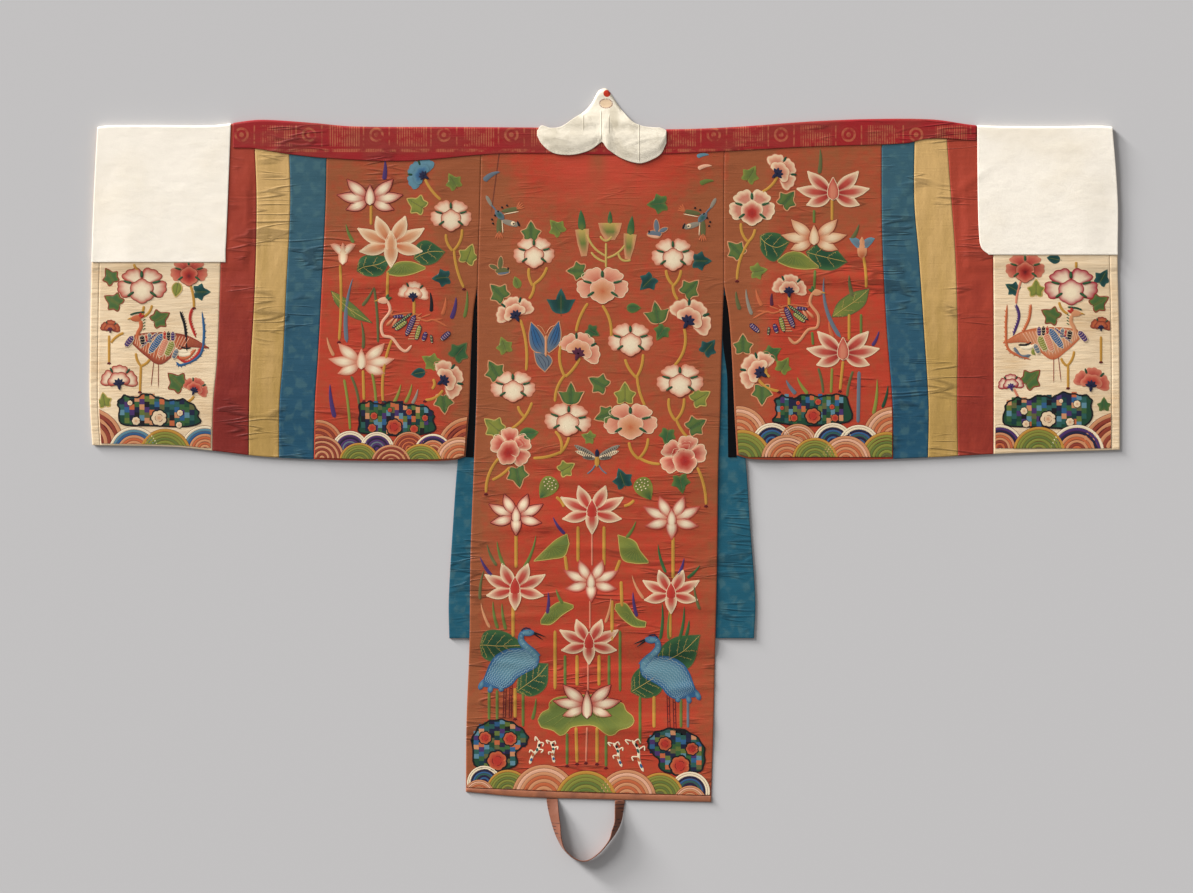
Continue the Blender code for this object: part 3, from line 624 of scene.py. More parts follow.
def cover_finish(tones):
    """The collar's cotton: greyer, with pleats and painted shade in them and beside the middle fold, a round red dot
    and a small bare tag at the point.
    """
    finish = Finish("Collar cotton", Sheen_Weight=0.12, Specular_IOR_Level=0.2)
    x, drop, clouds, small = finish.x, finish.drop, finish.noise(24, 30), finish.noise(28, 60, 5)
    pleats = 0.0
    for place, first, last in ((0.0583, -0.006, 0.070), (-0.0080, -0.026, 0.032), (-0.0391, -0.020, 0.014),
                               (0.0054, -0.017, 0.020)):
        line = (x - place).size().ramp(0.0013, 0.0004)
        pleats = line * drop.ramp(first, first + 0.008) * drop.ramp(last, last - 0.008) + pleats
    pleats = pleats.clamped()
    # painted shade beside the middle fold
    shade = (x - 0.014).size().ramp(0.013, 0.003) * drop.ramp(0.030, -0.006) * drop.ramp(-0.045, -0.020)
    # yellowing clouds, plus painted shade from the fold and from the pleat lines, all towards the aged and shaded
    # cotton
    aged = (clouds.ramp(0.44, 0.66) * 0.6 + shade * 0.8 + pleats * 0.7).clamped()
    colour = finish.blend(tones.cover, tones.cover_aged_and_shade, aged)
    oval = (((x - 0.0004) / 0.0112) ** 2.0 + ((drop + 0.0359) / 0.0080) ** 2.0) ** 0.5
    colour = finish.blend(colour, linear((226, 196, 160)), oval.ramp(0.95, 0.85))
    ring = (oval - 1.0).size().ramp(0.14, 0.04) * finish.noise(900, 900, 1).ramp(0.40, 0.52)
    colour = finish.blend(colour, linear((140, 80, 50)), ring)
    dx, dy = x - 0.0022, drop + 0.0537
    colour = finish.blend(colour, linear((190, 50, 26)), ((dx * dx + dy * dy) ** 0.5).ramp(0.0068, 0.0058))
    return cotton_weave(finish, colour, small, (clouds, 0.0016), (pleats, 0.0006), (small, 0.0005))


def cuff_finish(tones):
    """Cream satin with the fine brown slubs of age across it."""
    finish = Finish("Cream satin", Sheen_Weight=0.2, Specular_IOR_Level=0.4)
    slubs = finish.noise(26, 330)
    aged = slubs.ramp(0.42, 0.75) * 0.38 + finish.noise(10, 12).ramp(0.4, 0.8) * 0.5
    return finish.wear(finish.blend(tones.cream, tones.cream_aged, aged), (slubs - 0.5) * 0.3 + 0.5,
                       (finish.noise(12, 70, 4), 0.0014), (slubs, 0.0004), (weave(finish), 0.00003))


def underarm_shade_finish(tones):
    """Dull black silk with slubs, for the strips under the arms: a dark sheet that stands in for the deep shade in the
    slits, which is painted shade.
    """
    finish = Finish("Black silk", Specular_IOR_Level=0.05)
    slubs = finish.noise(20, 300)
    return finish.wear(finish.tint(tones.black, 0.7, 1.4, slubs), slubs * 0.3 + 0.7, (slubs, 0.0003))


def ribbon_finish(tones):
    """The hem's binding: a close ribbed weave, faded to a brownish red."""
    finish = Finish("Faded binding", Sheen_Weight=0.2)
    clouds, ribs = finish.noise(30, 45, 4), (finish.x * (math.tau / 0.0016)).sine()
    colour = finish.blend(tones.binding, tones.binding_dark, clouds.ramp(0.42, 0.68) * 0.7)
    colour = finish.tint(colour, 0.93, 1.07, ribs * 0.5 + 0.5)
    return finish.wear(colour, (clouds - 0.5) * 0.3 + 0.62, (clouds, 0.0012), (ribs, 0.0001))


def loop_finish(tones):
    """The loop's ribbon: darker than the binding, with short rows of dark stitches over it."""
    finish = Finish("Loop ribbon", Sheen_Weight=0.1)
    clouds = finish.noise(60, 60, 4)
    rows = (finish.drop * (math.tau / 0.0062) + (finish.noise(30) - 0.5) * 6.0).sine().ramp(0.45, 0.85)
    rows = rows * finish.noise(40, 70, 1).ramp(0.44, 0.56) * finish.drop.ramp(1.262, 1.232)
    colour = finish.blend(tones.loop, tones.binding_dark, clouds.ramp(0.40, 0.64) * 0.45)
    colour = finish.blend(colour, linear((58, 20, 12)), rows)
    return finish.wear(colour, (clouds - 0.5) * 0.3 + 0.7, (clouds, 0.001), (rows, 0.0004))


def thread_finish(tones):
    """Satin thread: its own colour, streaked along the stitches, which run in fine ridges."""
    finish = Finish("Satin stitch", Specular_IOR_Level=0.30)
    colour = finish.node("ShaderNodeAttribute", {"attribute_name": "Thread"}, output="Color")
    uv = finish.node("ShaderNodeUVMap", {"uv_map": "Thread direction"})
    over = finish.node("ShaderNodeSeparateXYZ", inputs={"Vector": uv}, output="Y")
    ridges_of_thread = (over * (math.tau / 0.0011)).sine() * 0.5 + 0.5
    stretched = finish.node("ShaderNodeMapping", inputs={"Vector": uv, "Scale": (60.0, 900.0, 1.0)})
    streaks = finish.node("ShaderNodeTexNoise", inputs={"Vector": stretched, "Scale": 1.0, "Detail": 2.0})
    shade = finish.tint(colour, 0.80, 1.14, streaks * 0.6 + ridges_of_thread * 0.4)
    return finish.wear(shade, (streaks - 0.5) * 0.3 + 0.48, (ridges_of_thread, 0.00005), (streaks, 0.0001))


# each cloth's slot and how its finish is made
CLOTHS = {
    "red": ("crimson_silk", lambda t: silk_finish("Red satin", robe_red)),
    "stripe_red": ("red_silk", lambda t: silk_finish(
        "Dark red silk", stripe_of(t.stripe_red, t.stripe_red_low, kept=0.45), 0.5, stretch=(30, 16))),
    "yellow": ("yellow_silk", lambda t: silk_finish(
        "Yellow silk", stripe_of(t.yellow, t.yellow_low, 0.45, (40, 9)), 0.5, 0.12, stretch=(34, 14))),
    "blue": ("blue_silk", lambda t: silk_finish(
        "Blue figured silk", damask_of(t.blue, t.blue_low, t.blue_bloom), 0.5, 0.1)),
    "lining": ("blue_silk", lambda t: silk_finish(
        "Blue lining silk", damask_of(t.lining, t.lining, t.blue_bloom), 0.45, 0.1)),
    "crimson": ("crimson_silk", lambda t: silk_finish("Crimson silk with gold leaf", gold_leaf, 0.5, 0.1, 0.0010)),
    "cotton": ("white_cotton", cotton_finish), "cover": ("white_cotton", cover_finish),
    # the black silk is painted shade: it dresses the strips that stand in for the shade in the slits under the arms
    "cream": ("cream_silk", cuff_finish), "black": ("black_silk", underarm_shade_finish),
    "binding": ("hem_silk", ribbon_finish), "loop": ("hem_silk", loop_finish),
    "thread": ("crimson_silk", thread_finish),
}
FINISHES = {}


def finish_named(name):
    """Makes each finish of the robe once, when it is first asked for."""
    if name not in FINISHES:
        FINISHES[name] = CLOTHS[name][1](robe_colours()).material
    return FINISHES[name]


# ---------------------------------------------------------------- the robe's pieces
SLEEVE_PIECES = (("sleeve", "red"), ("blue_band", "blue"), ("yellow_band", "yellow"), ("red_band", "stripe_red"),
                 ("cuff", "cream"), ("cuff_edge", "cream"))


def ordered(sign, inner, outer):
    """The two edges of a piece from left to right."""
    return (outer, inner) if sign < 0 else (inner, outer)


def make_sleeves():
    """The panel, three stripes, cuff and bound edge of each sleeve, folded at the shoulder."""
    for letter, side, sign in SIDES:
        lines = sleeve_lines(side)
        for index, (name, cloth) in enumerate(SLEEVE_PIECES):
            inside, outside = moved(lines[index], sign * GAP / 2), moved(lines[index + 1], -sign * GAP / 2)
            front_inside = inside if index else side_curves(FRONT_SIDE, side, sign * GAP)
            width = float(abs(outside(0.3) - inside(0.3)))
            step, ruffle = (0.0030, gathers) if name == "cuff_edge" else (0.0052, None)
            points = folded(ordered(sign, inside, outside), ordered(sign, front_inside, outside),
                            curve(HEMS[side], "drop", "x"), width, step, ruffle)
            lay_sheet(f"{name}_cloth_{letter}", f"{name}_{letter}", points, CLOTH, cloth)


def gathers(u, drop):
    """Small gathers along a bound edge: a sine down it that is fullest at its middle."""
    return 0.00035 * np.sin(drop * 900 + 3 * np.sin(drop * 160)) * np.sin(np.pi * u) * ramp(drop, 0.10, 0.14)


def make_back():
    """The back panel, which lies over the fronts and then on the surface."""
    u, v = grid((0.42, 0.0060), (1.16, 0.0040))
    x, drop = settled(side_curves(BODY_SIDE, "left", GAP / 2), side_curves(BODY_SIDE, "right", -GAP / 2), u,
                      between_rows(back_hem, fold_start, v))
    points = placed(x, drop, back_height(x, drop) + CLOTH / 2 + creased(x, drop))
    lay_sheet("back_silk", "back_panel", points, CLOTH, "red")


def make_fronts():
    """Each front, red side down, the blue lining on it and the black strip under the arm, which stands in for the deep
    shade in the slit as painted shade.
    """
    for letter, side, sign in SIDES:
        def middle(drop):
            open_neck = 1 - np.clip((drop - NECK_TOP) / (NECK_DEPTH - NECK_TOP), 0.0, 1.0)
            return sign * (NECK_HALF * open_neck + GAP)

        edges = ordered(sign, middle, side_curves(FRONT_SIDE, side))
        u, v = grid((0.25, 0.009), (0.88, 0.009))
        x, drop = settled(*edges, u, between_rows(level(FRONT_HEM), fold_start, v))
        points = placed(x, drop, front_height(x, drop) + CLOTH / 2)
        lay_sheet(f"front_silk_{letter}", f"front_panel_{letter}", points, CLOTH, "red")
        x, drop = settled(*edges, u, between_rows(level(FRONT_HEM), moved(fold_start, LINING_DROP), v))
        ripple = 0.00035 * np.sin(drop * 60 + 9 * np.sin(x * 20)) * ramp(np.abs(x), 0.205, 0.235)
        points = placed(x, drop, front_height(x, drop) + CLOTH + GAP + LINING / 2 + np.maximum(ripple, 0))
        lay_sheet(f"lining_silk_{letter}", f"front_lining_{letter}", points, LINING, "lining")
        # the black strip in the slit under the arm: a dark sheet standing in for the shade there, painted shade
        body, sleeve = side_curves(BODY_SIDE, side), side_curves(SLEEVE_INNER, side)
        u, v = grid((0.010, 0.003, 0.001), (0.283, 0.006))
        drop = mix(SHADE_STRIP_END, SHADE_STRIP_TOP, v)
        share = SHADE_STRIP_COVERED[side] * ramp(drop, 0.360, 0.450)
        inner = mix(body(drop), sleeve(drop), share) + sign * SHADE_STRIP_CLEAR
        x = mix(*ordered(sign, inner, sleeve(drop) - sign * SHADE_STRIP_CLEAR), u)
        points = placed(x, drop, np.full_like(x, CLOTH + LINING + 2 * GAP + THIN / 2))
        lay_sheet(f"underarm_shade_strip_{letter}", f"underarm_facing_{letter}", points, THIN, "black",
                  0.001)


def make_bands():
    """The crimson band: a strip over each shoulder, and a flat one across the neck."""
    for letter, _, sign in SIDES:
        near, end = sign * (NECK_HALF + GAP), BAND_EDGE["x"][0 if sign < 0 else -1]
        points = wrapped(*ordered(sign, level(near), level(end)), abs(end - near), BAND_FRONT, band_edge, 0.055)
        lay_sheet(f"shoulder_silk_{letter}", f"shoulder_band_{letter}", points, THIN, "crimson",
                  0.0015)
    u, v = grid((0.21, 0.004), (0.045, 0.004))
    x = mix(-NECK_HALF, NECK_HALF, u)
    drop = mix(band_edge(x), fold_start(x), v)
    points = placed(x, drop, silk_top(x, drop) + GAP + THIN / 2)
    lay_sheet("neck_silk", "neck_band", points, THIN, "crimson", 0.0015)


def make_cuff_covers():
    """The white cover over the top of each cuff, folded round to the front."""
    for letter, side, sign in SIDES:
        edges, depth = ordered(sign, curve(COVER_INNER, side, sign=sign), sleeve_lines(side)[-1]), COVER_DEPTH[side]
        lay_sheet(f"cover_cotton_{letter}", f"cuff_cover_{letter}", wrapped(*edges, 0.236, depth, level(depth), depth),
                  THIN, "cotton", 0.0015)


def cover_height(x, drop, top, bottom):
    """The collar cover's underside: over the back's neck, and down a slope over the collar's point."""
    over_collar = THIN + CLOTH + 2 * GAP
    height = mix(over_collar, FOLD_STACK + over_collar, ramp(drop, -0.042, 0.003))
    lobe = LOBE_RISE * ramp(drop, 0.005, 0.025) * ramp(bottom - drop, 0.0, 0.020)
    pleat = PLEAT_RISE * bell((x - 0.001) / 0.010) * ramp(drop, -0.020, 0.010)
    droop = (over_collar - GAP) * ramp(top, -0.012, -0.030) * ramp(drop - top, 0.006, 0.0)
    rest = np.where(drop > COLLAR["drop"][-2], np.maximum(back_height(x, drop) - FOLD_STACK, 0.0), 0.0)
    return height + rest + lobe + pleat - droop


COVER_CREASES = table("x drop reach width rise slant bow", """
    -30 -8 14 2.2 .6 1.6 0, 42 0 20 2.4 .6 .4 0, 60 30 22 3 .5 -.3 3, -70 28 24 3 .5 .3 3, 14 12 12 2.4 -.5 2.4 0,
    -8 20 12 2.4 .5 -2.4 0""")


def make_collar():
    """The collar band under the neck, and the white cover over it with its two lobes."""
    half, (neck, point) = curve(COLLAR, "half"), COLLAR["drop"][-2:]
    u, v = grid((0.18, 0.006), (0.308, 0.005))
    drop = mix(point, COLLAR["drop"][0], v)
    width = np.where(drop > neck, mix(*COLLAR["half"][-2:], (drop - neck) / (point - neck)), half(drop))
    points = placed(mix(-width, width, u), drop, front_height(0.0, drop) + CLOTH / 2)
    lay_sheet("collar_silk", "collar", points, CLOTH, "red")
    top, bottom = curve(COLLAR_COVER, "top", "x"), curve(COLLAR_COVER, "bottom", "x")
    u, v = grid((0.226, 0.002, 0.002), (0.070, 0.002, 0.002))
    x = mix(COLLAR_COVER["x"][0], COLLAR_COVER["x"][-1], u)
    drop = mix(bottom(x), top(x), v)
    height = cover_height(x, drop, top(x), bottom(x)) + ridges(COVER_CREASES, x, drop)
    lay_sheet("collar_cotton", "collar_cover", placed(x, drop, height + THIN / 2), THIN, "cover",
              0.0015)


def make_hem():
    """The bound lower edge of the back panel, and the ribbon loop sewn under it."""
    u, v = grid((0.43, 0.004), (0.012, 0.0015, 0.002))
    x = mix(BACK_HEM["x"][0], BACK_HEM["x"][-1], u)
    drop = mix(binding_hem(x), back_hem(x) + GAP, v)
    swell = BINDING_CROWN * (1 - (2 * v - 1) ** 2) * (1 + 0.3 * np.sin(x * 700))
    lay_sheet("hem_ribbon", "hem_binding", placed(x, drop, BINDING / 2 + swell), BINDING, "binding", 0.0026)
    rows = {"t": np.linspace(0, 1, len(LOOP["x"])), **LOOP}
    u, v = np.meshgrid(spaced(0.019, 0.0025, 0.001), np.linspace(0, 1, 140))
    x, drop, width, tilt = (curve(rows, name, "t") for name in LOOP)
    ahead, behind = np.minimum(v + 0.01, 1.0), np.maximum(v - 0.01, 0.0)
    run, fall = x(ahead) - x(behind), drop(ahead) - drop(behind)
    lean = np.radians(np.clip(tilt(v), 0.0, 88.0))
    side = (u - 0.5) * width(v)
    out = side * np.cos(lean) / np.hypot(run, fall)
    height = (width(v) / 2 - side) * np.sin(lean) + RIBBON / 2
    x = x(v) - out * fall
    drop = np.where((v == 0) | (v == 1), binding_hem(x) + 2 * GAP, drop(v) + out * run)
    lay_sheet("loop_ribbon", "hanging_loop", placed(x, drop, height), RIBBON, "loop", 0.0009)
# ---------------------------------------------------------------- satin stitch
# The embroidery is set out on a chart whose units are 1.75 mm, as x + 1j * height on it.
CHART_UNIT, CHART_MIDDLE, CHART_SHOULDER = 0.00175, 605.75, 124.0
BASE, LAYER = 0.00008, 0.00012  # a stitch's sides over the cloth, and each layer over the last
LEAST_HALF = 0.012            # half width of a strip at its pointed ends, in chart units
SUNK = 0.0005                 # how deep in the cloth the hidden undersides lie
WIDE = 4.5                    # a strip wider than this follows the cloth with its underside too
FULL_TURN = 359.9             # degrees of a round strip, whose ends just don't meet

THREADS = {name: np.array(linear(rgb)) for name, *rgb in rows_of("""
    white 236 216 182, cream 228 200 162, pale_pink 224 168 136, pink 204 122 94, crimson 168 34 58, rose 180 70 56,
    deep_red 150 34 30, red 178 48 36, dark_red 92 16 20, tan 202 138 96, orange 190 98 58, brown_red 140 58 40,
    gold 188 136 54, straw 188 158 84, lime 130 132 54, leaf 98 112 50, green 54 92 50, dark_green 28 68 44,
    teal 42 88 80, deep_teal 16 54 56, sky 92 132 146, mist 142 172 182, blue 46 90 130, navy 28 30 58,
    violet 72 46 98, plum 80 30 52, grey_blue 98 108 118, moss 94 94 54, black 22 18 22, grey 138 128 112""")}


def at(x, y):
    """A place on the chart."""
    return x - 1j * y


def dots(items):
    """Places from x and y by turns, given as a text or as a row of numbers."""
    x, y = np.array(items.split() if isinstance(items, str) else items, float).reshape(-1, 2).T
    return x + 1j * y


def spline(points, count):
    """A smooth line of count places through a few: cubics whose slopes are those between neighbours."""
    points = np.asarray(points, complex)
    rows = {"t": np.linspace(0, 1, len(points)), "x": points.real, "y": points.imag}
    t = np.linspace(0, 1, count)
    return curve(rows, "x", "t")(t) + 1j * curve(rows, "y", "t")(t)


def sides_of(line, half):
    """The two lines that run beside a line at a distance."""
    slope = np.gradient(line)
    side = 1j * slope / np.maximum(np.abs(slope), 1e-9) * half
    return (line + side)[None], (line - side)[None]


def blades(base, tip, half, blunt=(0.8, 0.5), bend=0.0, count=9):
    """Strips from base to tip on a bowed line; the half width goes as t^a (1 - t)^b."""
    base, tip, half, bend = np.broadcast_arrays(*(np.atleast_1d(item) for item in (base, tip, half, bend)))
    reach, bow = (tip - base)[:, None], 4 * bend[:, None]
    t = np.linspace(0, 1, count)
    line = base[:, None] + reach * (t + 1j * bow * t * (1 - t))
    slope = reach * (1 + 1j * bow * (1 - 2 * t))
    a, b = blunt
    peak = (a / (a + b)) ** a * (b / (a + b)) ** b
    width = np.maximum(half[:, None] * t ** a * (1 - t) ** b / peak, LEAST_HALF)
    side = 1j * slope / np.abs(slope) * width
    return line + side, line - side


def along(points, half, count=24, taper=0.06):
    """One strip of even width along a line through places, narrowing at its two ends."""
    t = np.linspace(0, 1, count)
    width = half * np.clip(np.minimum(t, 1 - t) / taper, 0, 1) ** 0.5
    return sides_of(spline(points, count), np.maximum(width, LEAST_HALF))


def fans(centre, inner, outer, start, end, scallops=3, count=15, depth=0.07, shoulder=0.20):
    """Petals as parts of a ring between two angles, with a scalloped rim and rounded shoulders."""
    start, end = np.atleast_1d(start)[:, None], np.atleast_1d(end)[:, None]
    t = np.linspace(0, 1, count)
    spin = np.exp(1j * np.radians(start + (end - start) * t))
    rim = 1 - depth + depth * np.abs(np.sin(scallops * np.pi * t)) - shoulder * np.abs(2 * t - 1) ** 5
    return centre + inner * spin, centre + outer * rim * spin


def quads_of(index):
    """The four-sided faces between the neighbours of a grid of point numbers."""
    return np.stack([index[:-1, :-1], index[1:, :-1], index[1:, 1:], index[:-1, 1:]], axis=-1).reshape(-1, 4)


class Chart:
    """Gathers strips of stitches, then makes them one mesh on the cloth below."""

    def __init__(self, keep_in):
        self.keep_in = keep_in
        self.groups = {}

    def sew(self, strips, inner, middle=None, rim=None, lift=0.0, relief=1.0, fan=False, across=False,
            edge=None, edge_width=0.9, files=4):
        """Adds strips; colours run from inner to middle along them, and to rim at sides and tip."""
        near, far = (np.atleast_2d(side) for side in strips)
        shades = [THREADS[name] for name in (inner, middle or inner, rim or middle or inner)]
        run = np.gradient((near + far) / 2, axis=1)
        swap = (((run.conj() * (far - near)).imag > 0).mean(axis=1) < 0.5)[:, None]
        if fan:
            near, far = np.where(swap, near[:, ::-1], near), np.where(swap, far[:, ::-1], far)
        else:
            near, far = np.where(swap, far, near), np.where(swap, near, far)
        if edge in THREADS:
            loop = np.concatenate([near, far[:, ::-1], near[:, :1]], axis=1)
            slope = np.gradient(loop, axis=1)
            turns = np.sign((loop[:, :-1].conj() * loop[:, 1:]).imag.sum(axis=1))[:, None]
            out = -1j * turns * slope / np.maximum(np.abs(slope), 1e-9)
            outer, inner = loop + out * edge_width, loop - out * 0.2
            self.put(np.where(turns > 0, outer, inner), np.where(turns > 0, inner, outer), [THREADS[edge]] * 3,
                     lift + 0.5, relief * 0.4, False, False, 3)
        self.put(near, far, shades, lift, relief, fan, across, files)

    def put(self, near, far, shades, lift, relief, fan, across, files):
        """Keeps strips with those that have as many points; wide ones are kept apart."""
        many = len(near)
        facts = [np.broadcast_to(shade, (many, 3)) for shade in shades]
        facts += [np.broadcast_to(float(item), (many,)) for item in (lift, relief, fan, across)]
        wide = bool(np.abs(far - near).max() > WIDE)
        self.groups.setdefault((near.shape[1], files, wide), []).append((near, far, *facts))

    def mesh_parts(self, count, files, wide, rows):
        """Points, colours, thread coordinates and faces of all the strips of one fineness.

        A wide strip gets an underside that follows the cloth from inside it; a narrow one is closed straight across.
        """
        near, far, inner, middle, rim, *numbers = (np.concatenate(item) for item in zip(*rows))
        lift, relief, fan, across = (item[:, None, None] for item in numbers)
        t, s = np.linspace(0, 1, count)[:, None], np.linspace(-1, 1, files)
        flat = near[..., None] + (far - near)[..., None] * (s + 1) / 2
        x, drop = self.keep_in((flat.real - CHART_MIDDLE) * CHART_UNIT, (-flat.imag - CHART_SHOULDER) * CHART_UNIT)
        parted = (np.abs(far[:, -1] - far[:, 0]) > 0.05 * np.abs(far - near).max(axis=1))[:, None, None]
        swell = np.where(parted, (1 - np.abs(s) ** 2.6) * np.clip(np.minimum(t, 1 - t) * 9, 0, 1) ** 0.5,
                         1 - ((s + 1) / 2) ** 2.6)
        cloth = silk_top(x, drop)
        points = placed(x, drop, cloth + swell * relief * robe_sizes().relief + lift * LAYER + BASE)
        is_fan = fan > 0.5
        depth = np.where(is_fan, (s + 1) / 2, t)
        side = np.where(is_fan, np.abs(2 * t - 1) * parted, np.abs(s))
        shade = mix(inner[:, None, None], middle[:, None, None], ramp(depth, 0.05, 0.50)[..., None])
        to_rim = ramp(np.maximum(depth ** 1.6, side ** 1.4), 0.30, 1.0)[..., None]
        shade = mix(shade, rim[:, None, None], to_rim)
        length = np.abs(np.diff((near + far) / 2, axis=1)).sum(axis=1)[:, None, None] * CHART_UNIT
        breadth = np.abs(far - near).max(axis=1)[:, None, None] * CHART_UNIT
        down, over = np.broadcast_arrays(t * length, s * breadth / 2)
        crosswise = np.broadcast_to(is_fan | (across > 0.5), down.shape)
        threads = np.stack([np.where(crosswise, over, down), np.where(crosswise, down, over)], axis=-1)
        facts = [item.reshape(len(near), count * files, -1) for item in (points, shade, threads)]
        index = np.arange(count * files).reshape(count, files)
        faces = [quads_of(index)]
        if wide:
            below = index.copy()
            below[1:-1, 1:-1] = count * files + np.arange((count - 2) * (files - 2)).reshape(count - 2, files - 2)
            under = [item[:, index[1:-1, 1:-1].ravel()] for item in facts]
            under[0][..., 2] = (cloth - SUNK)[:, 1:-1, 1:-1].reshape(len(near), -1)
            facts = [np.concatenate(pair, axis=1) for pair in zip(facts, under)]
            faces.append(quads_of(below)[:, ::-1])
        else:
            left, right = index[1:-1, 0], index[1:-1, -1]
            faces.append(np.stack([left[:-1], right[:-1], right[1:], left[1:]], axis=-1))
            caps = np.stack([[*index[0], right[0], left[0]], [*index[-1][::-1], left[-1], right[-1]]])
        start = (np.arange(len(near)) * facts[0].shape[1])[:, None, None]
        quads = (np.concatenate(faces)[None] + start).reshape(-1, 4)
        caps = np.empty((0, 3), int) if wide else (caps[None] + start).reshape(-1, files + 2)
        return [item.reshape(-1, item.shape[-1]) for item in facts] + [quads, caps]

    def finished(self, name):
        """The strips as one object with its colours and thread directions."""
        facts, faces, used = [], [], 0
        for fineness, rows in self.groups.items():
            *made, quads, caps = self.mesh_parts(*fineness, rows)
            facts.append(made)
            faces += (quads + used).tolist() + (caps + used).tolist()
            used += len(made[0])
        points, shades, threads = (np.concatenate(item) for item in zip(*facts))
        piece = make_object(name, points, faces, finish_named("thread"))
        mesh = piece.data
        mesh.set_sharp_from_angle(angle=math.radians(50))
        colour = mesh.color_attributes.new("Thread", "FLOAT_COLOR", "POINT")
        rgba = np.concatenate([shades, np.ones((used, 1))], axis=1)
        colour.data.foreach_set("color", rgba.astype(np.float32).ravel())
        corners = np.empty(len(mesh.loops), np.int32)
        mesh.loops.foreach_get("vertex_index", corners)
        layer = mesh.uv_layers.new(name="Thread direction")
        layer.data.foreach_set("uv", threads[corners].astype(np.float32).ravel())
        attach(piece, "root")


class Motif:
    """Sews strips that are set out round nought, flipped or squashed, made bigger, turned and moved."""

    def __init__(self, chart, centre, size=1.0, angle=0.0, flip=False):
        self.chart, self.centre, self.flip, self.squash = chart, centre, flip, 1.0
        self.turn = size * np.exp(1j * math.radians(angle))

    def on_chart(self, points):
        """Where the motif's own places are on the chart."""
        points = np.asarray(points, complex)
        points = points.real * (-1 if self.flip else 1) + 1j * points.imag * self.squash
        return self.centre + self.turn * points

    def sew(self, strips, *shades, **style):
        self.chart.sew([self.on_chart(side) for side in strips], *shades, **style)

    def blade(self, base, tip, half, *shades, blunt=(0.8, 0.5), bend=0.0, count=9, **style):
        self.sew(blades(np.atleast_1d(base), np.atleast_1d(tip), half, blunt, bend, count), *shades, **style)

    def line(self, places, half, *shades, count=12, taper=0.06, **style):
        places = dots(places) if isinstance(places, str) else places
        self.sew(along(places, half, count, taper), *shades, **{"files": 3, **style})

    def disc(self, middle, radius, *shades, scallops=1, depth=0.0, count=13, **style):
        rounds = fans(middle, 0.004 * radius, radius, 0, FULL_TURN, scallops, count, depth, 0.0)
        self.sew(rounds, *shades, fan=True, **style)


# ---------------------------------------------------------------- flowers and leaves
# threads at the inner end, middle and rim of the petals, the same of the front petal, and the outline
PEONIES = {name: threads for name, *threads in rows_of("""
    white cream white pink white white pink none, rosy rose pink pale_pink orange tan pale_pink cream,
    cuff white white rose white white rose brown_red, crimson white white crimson white white crimson deep_red,
    pink deep_red red pale_pink deep_red red pale_pink cream, scarlet cream rose cream deep_red red cream cream,
    red deep_red rose pink dark_red red pink none, ember orange orange brown_red orange orange brown_red brown_red,
    faded brown_red pink cream brown_red pink cream pink, blue navy sky sky navy blue sky sky""")}
# heart, middle and rim of a petal, its outline, and the upright petal's middle and rim
LOTUSES = {name: threads for name, *threads in rows_of("""
    pale red rose cream cream red rose, white pink white rose rose white rose, tan orange tan cream cream tan cream,
    soft pink white pink none white pink, straw orange cream tan brown_red cream tan,
    dark_edge rose white rose dark_red white rose, pink deep_red rose cream cream pink rose""")}


def rays(*degrees):
    """Arrows one long at some angles."""
    return np.exp(1j * np.radians(np.array(degrees, float)))


def peony(flower, words, squash):
    """Four scalloped petals behind a tall scalloped one, with sepals where they meet."""
    kind = words[1]
    *threads, edge = PEONIES[kind]
    flower.squash, starts = squash, np.array([92, 24, 158, -48])
    style = {"fan": True, "edge": edge}
    flower.sew(fans(0, 0.12, 1.0, starts, starts + [64, 64, 70, 70]), *threads[:3], lift=1, edge_width=0.5, **style)
    if kind == "pink":
        flower.sew(fans(0.16, 0.08, 0.66, [50, 120], [118, 190]), *threads[:3], lift=2, edge_width=0.4, **style)
    front = fans(0, 0.002, 0.50, 0, FULL_TURN, 6, 36, 0.12, 0.0)
    flower.sew([side.real + 1j * (side.imag * 1.30 - 0.27) for side in front], *threads[3:], fan=True, lift=4.4,
               relief=0.8, edge="brown_red" if edge == "none" else edge, edge_width=0.35)
    if kind != "pink":
        way = rays(91, 20, 160, -43, 223)
        flower.blade(0.44 * way, 0.80 * way, 0.06, "dark_green", "green", "dark_green", blunt=(0.25, 0.4), lift=6.8)


def side_peony(flower, words):
    """A peony seen from the side: an outer and an inner fan of broad petals over a starry eye."""
    *threads, edge = PEONIES[words[1]]
    starts = np.array([-16, 50, 116])
    style = {"fan": True, "edge": edge, "edge_width": 0.45}
    flower.sew(fans(0, 0.34, 1.0, starts, starts + 66), *threads[:3], lift=1, **style)
    flower.sew(fans(0, 0.06, 0.64, -8, 188, 4, 37, 0.10), *threads[3:], lift=4.4, **style)
    way = rays(10, 50, 90, 130, 170, 270)
    flower.blade(-0.06 * way, 0.32 * way, 0.09, words[2], blunt=(0.6, 0.7), lift=6.8)
    way = rays(50, 114)
    flower.blade(0.68 * way, 0.98 * way, 0.06, "dark_green", blunt=(0.3, 0.4), lift=3)


# angles to the right and left, and reach, of the pairs of petals of a lotus
LEANS = {"lotus": rows_of("24 156 1.1, -18 198 1, 63 117 .95"),
         "low_lotus": rows_of("-30 210 .92, 4 176 1.1, 40 140 1")}


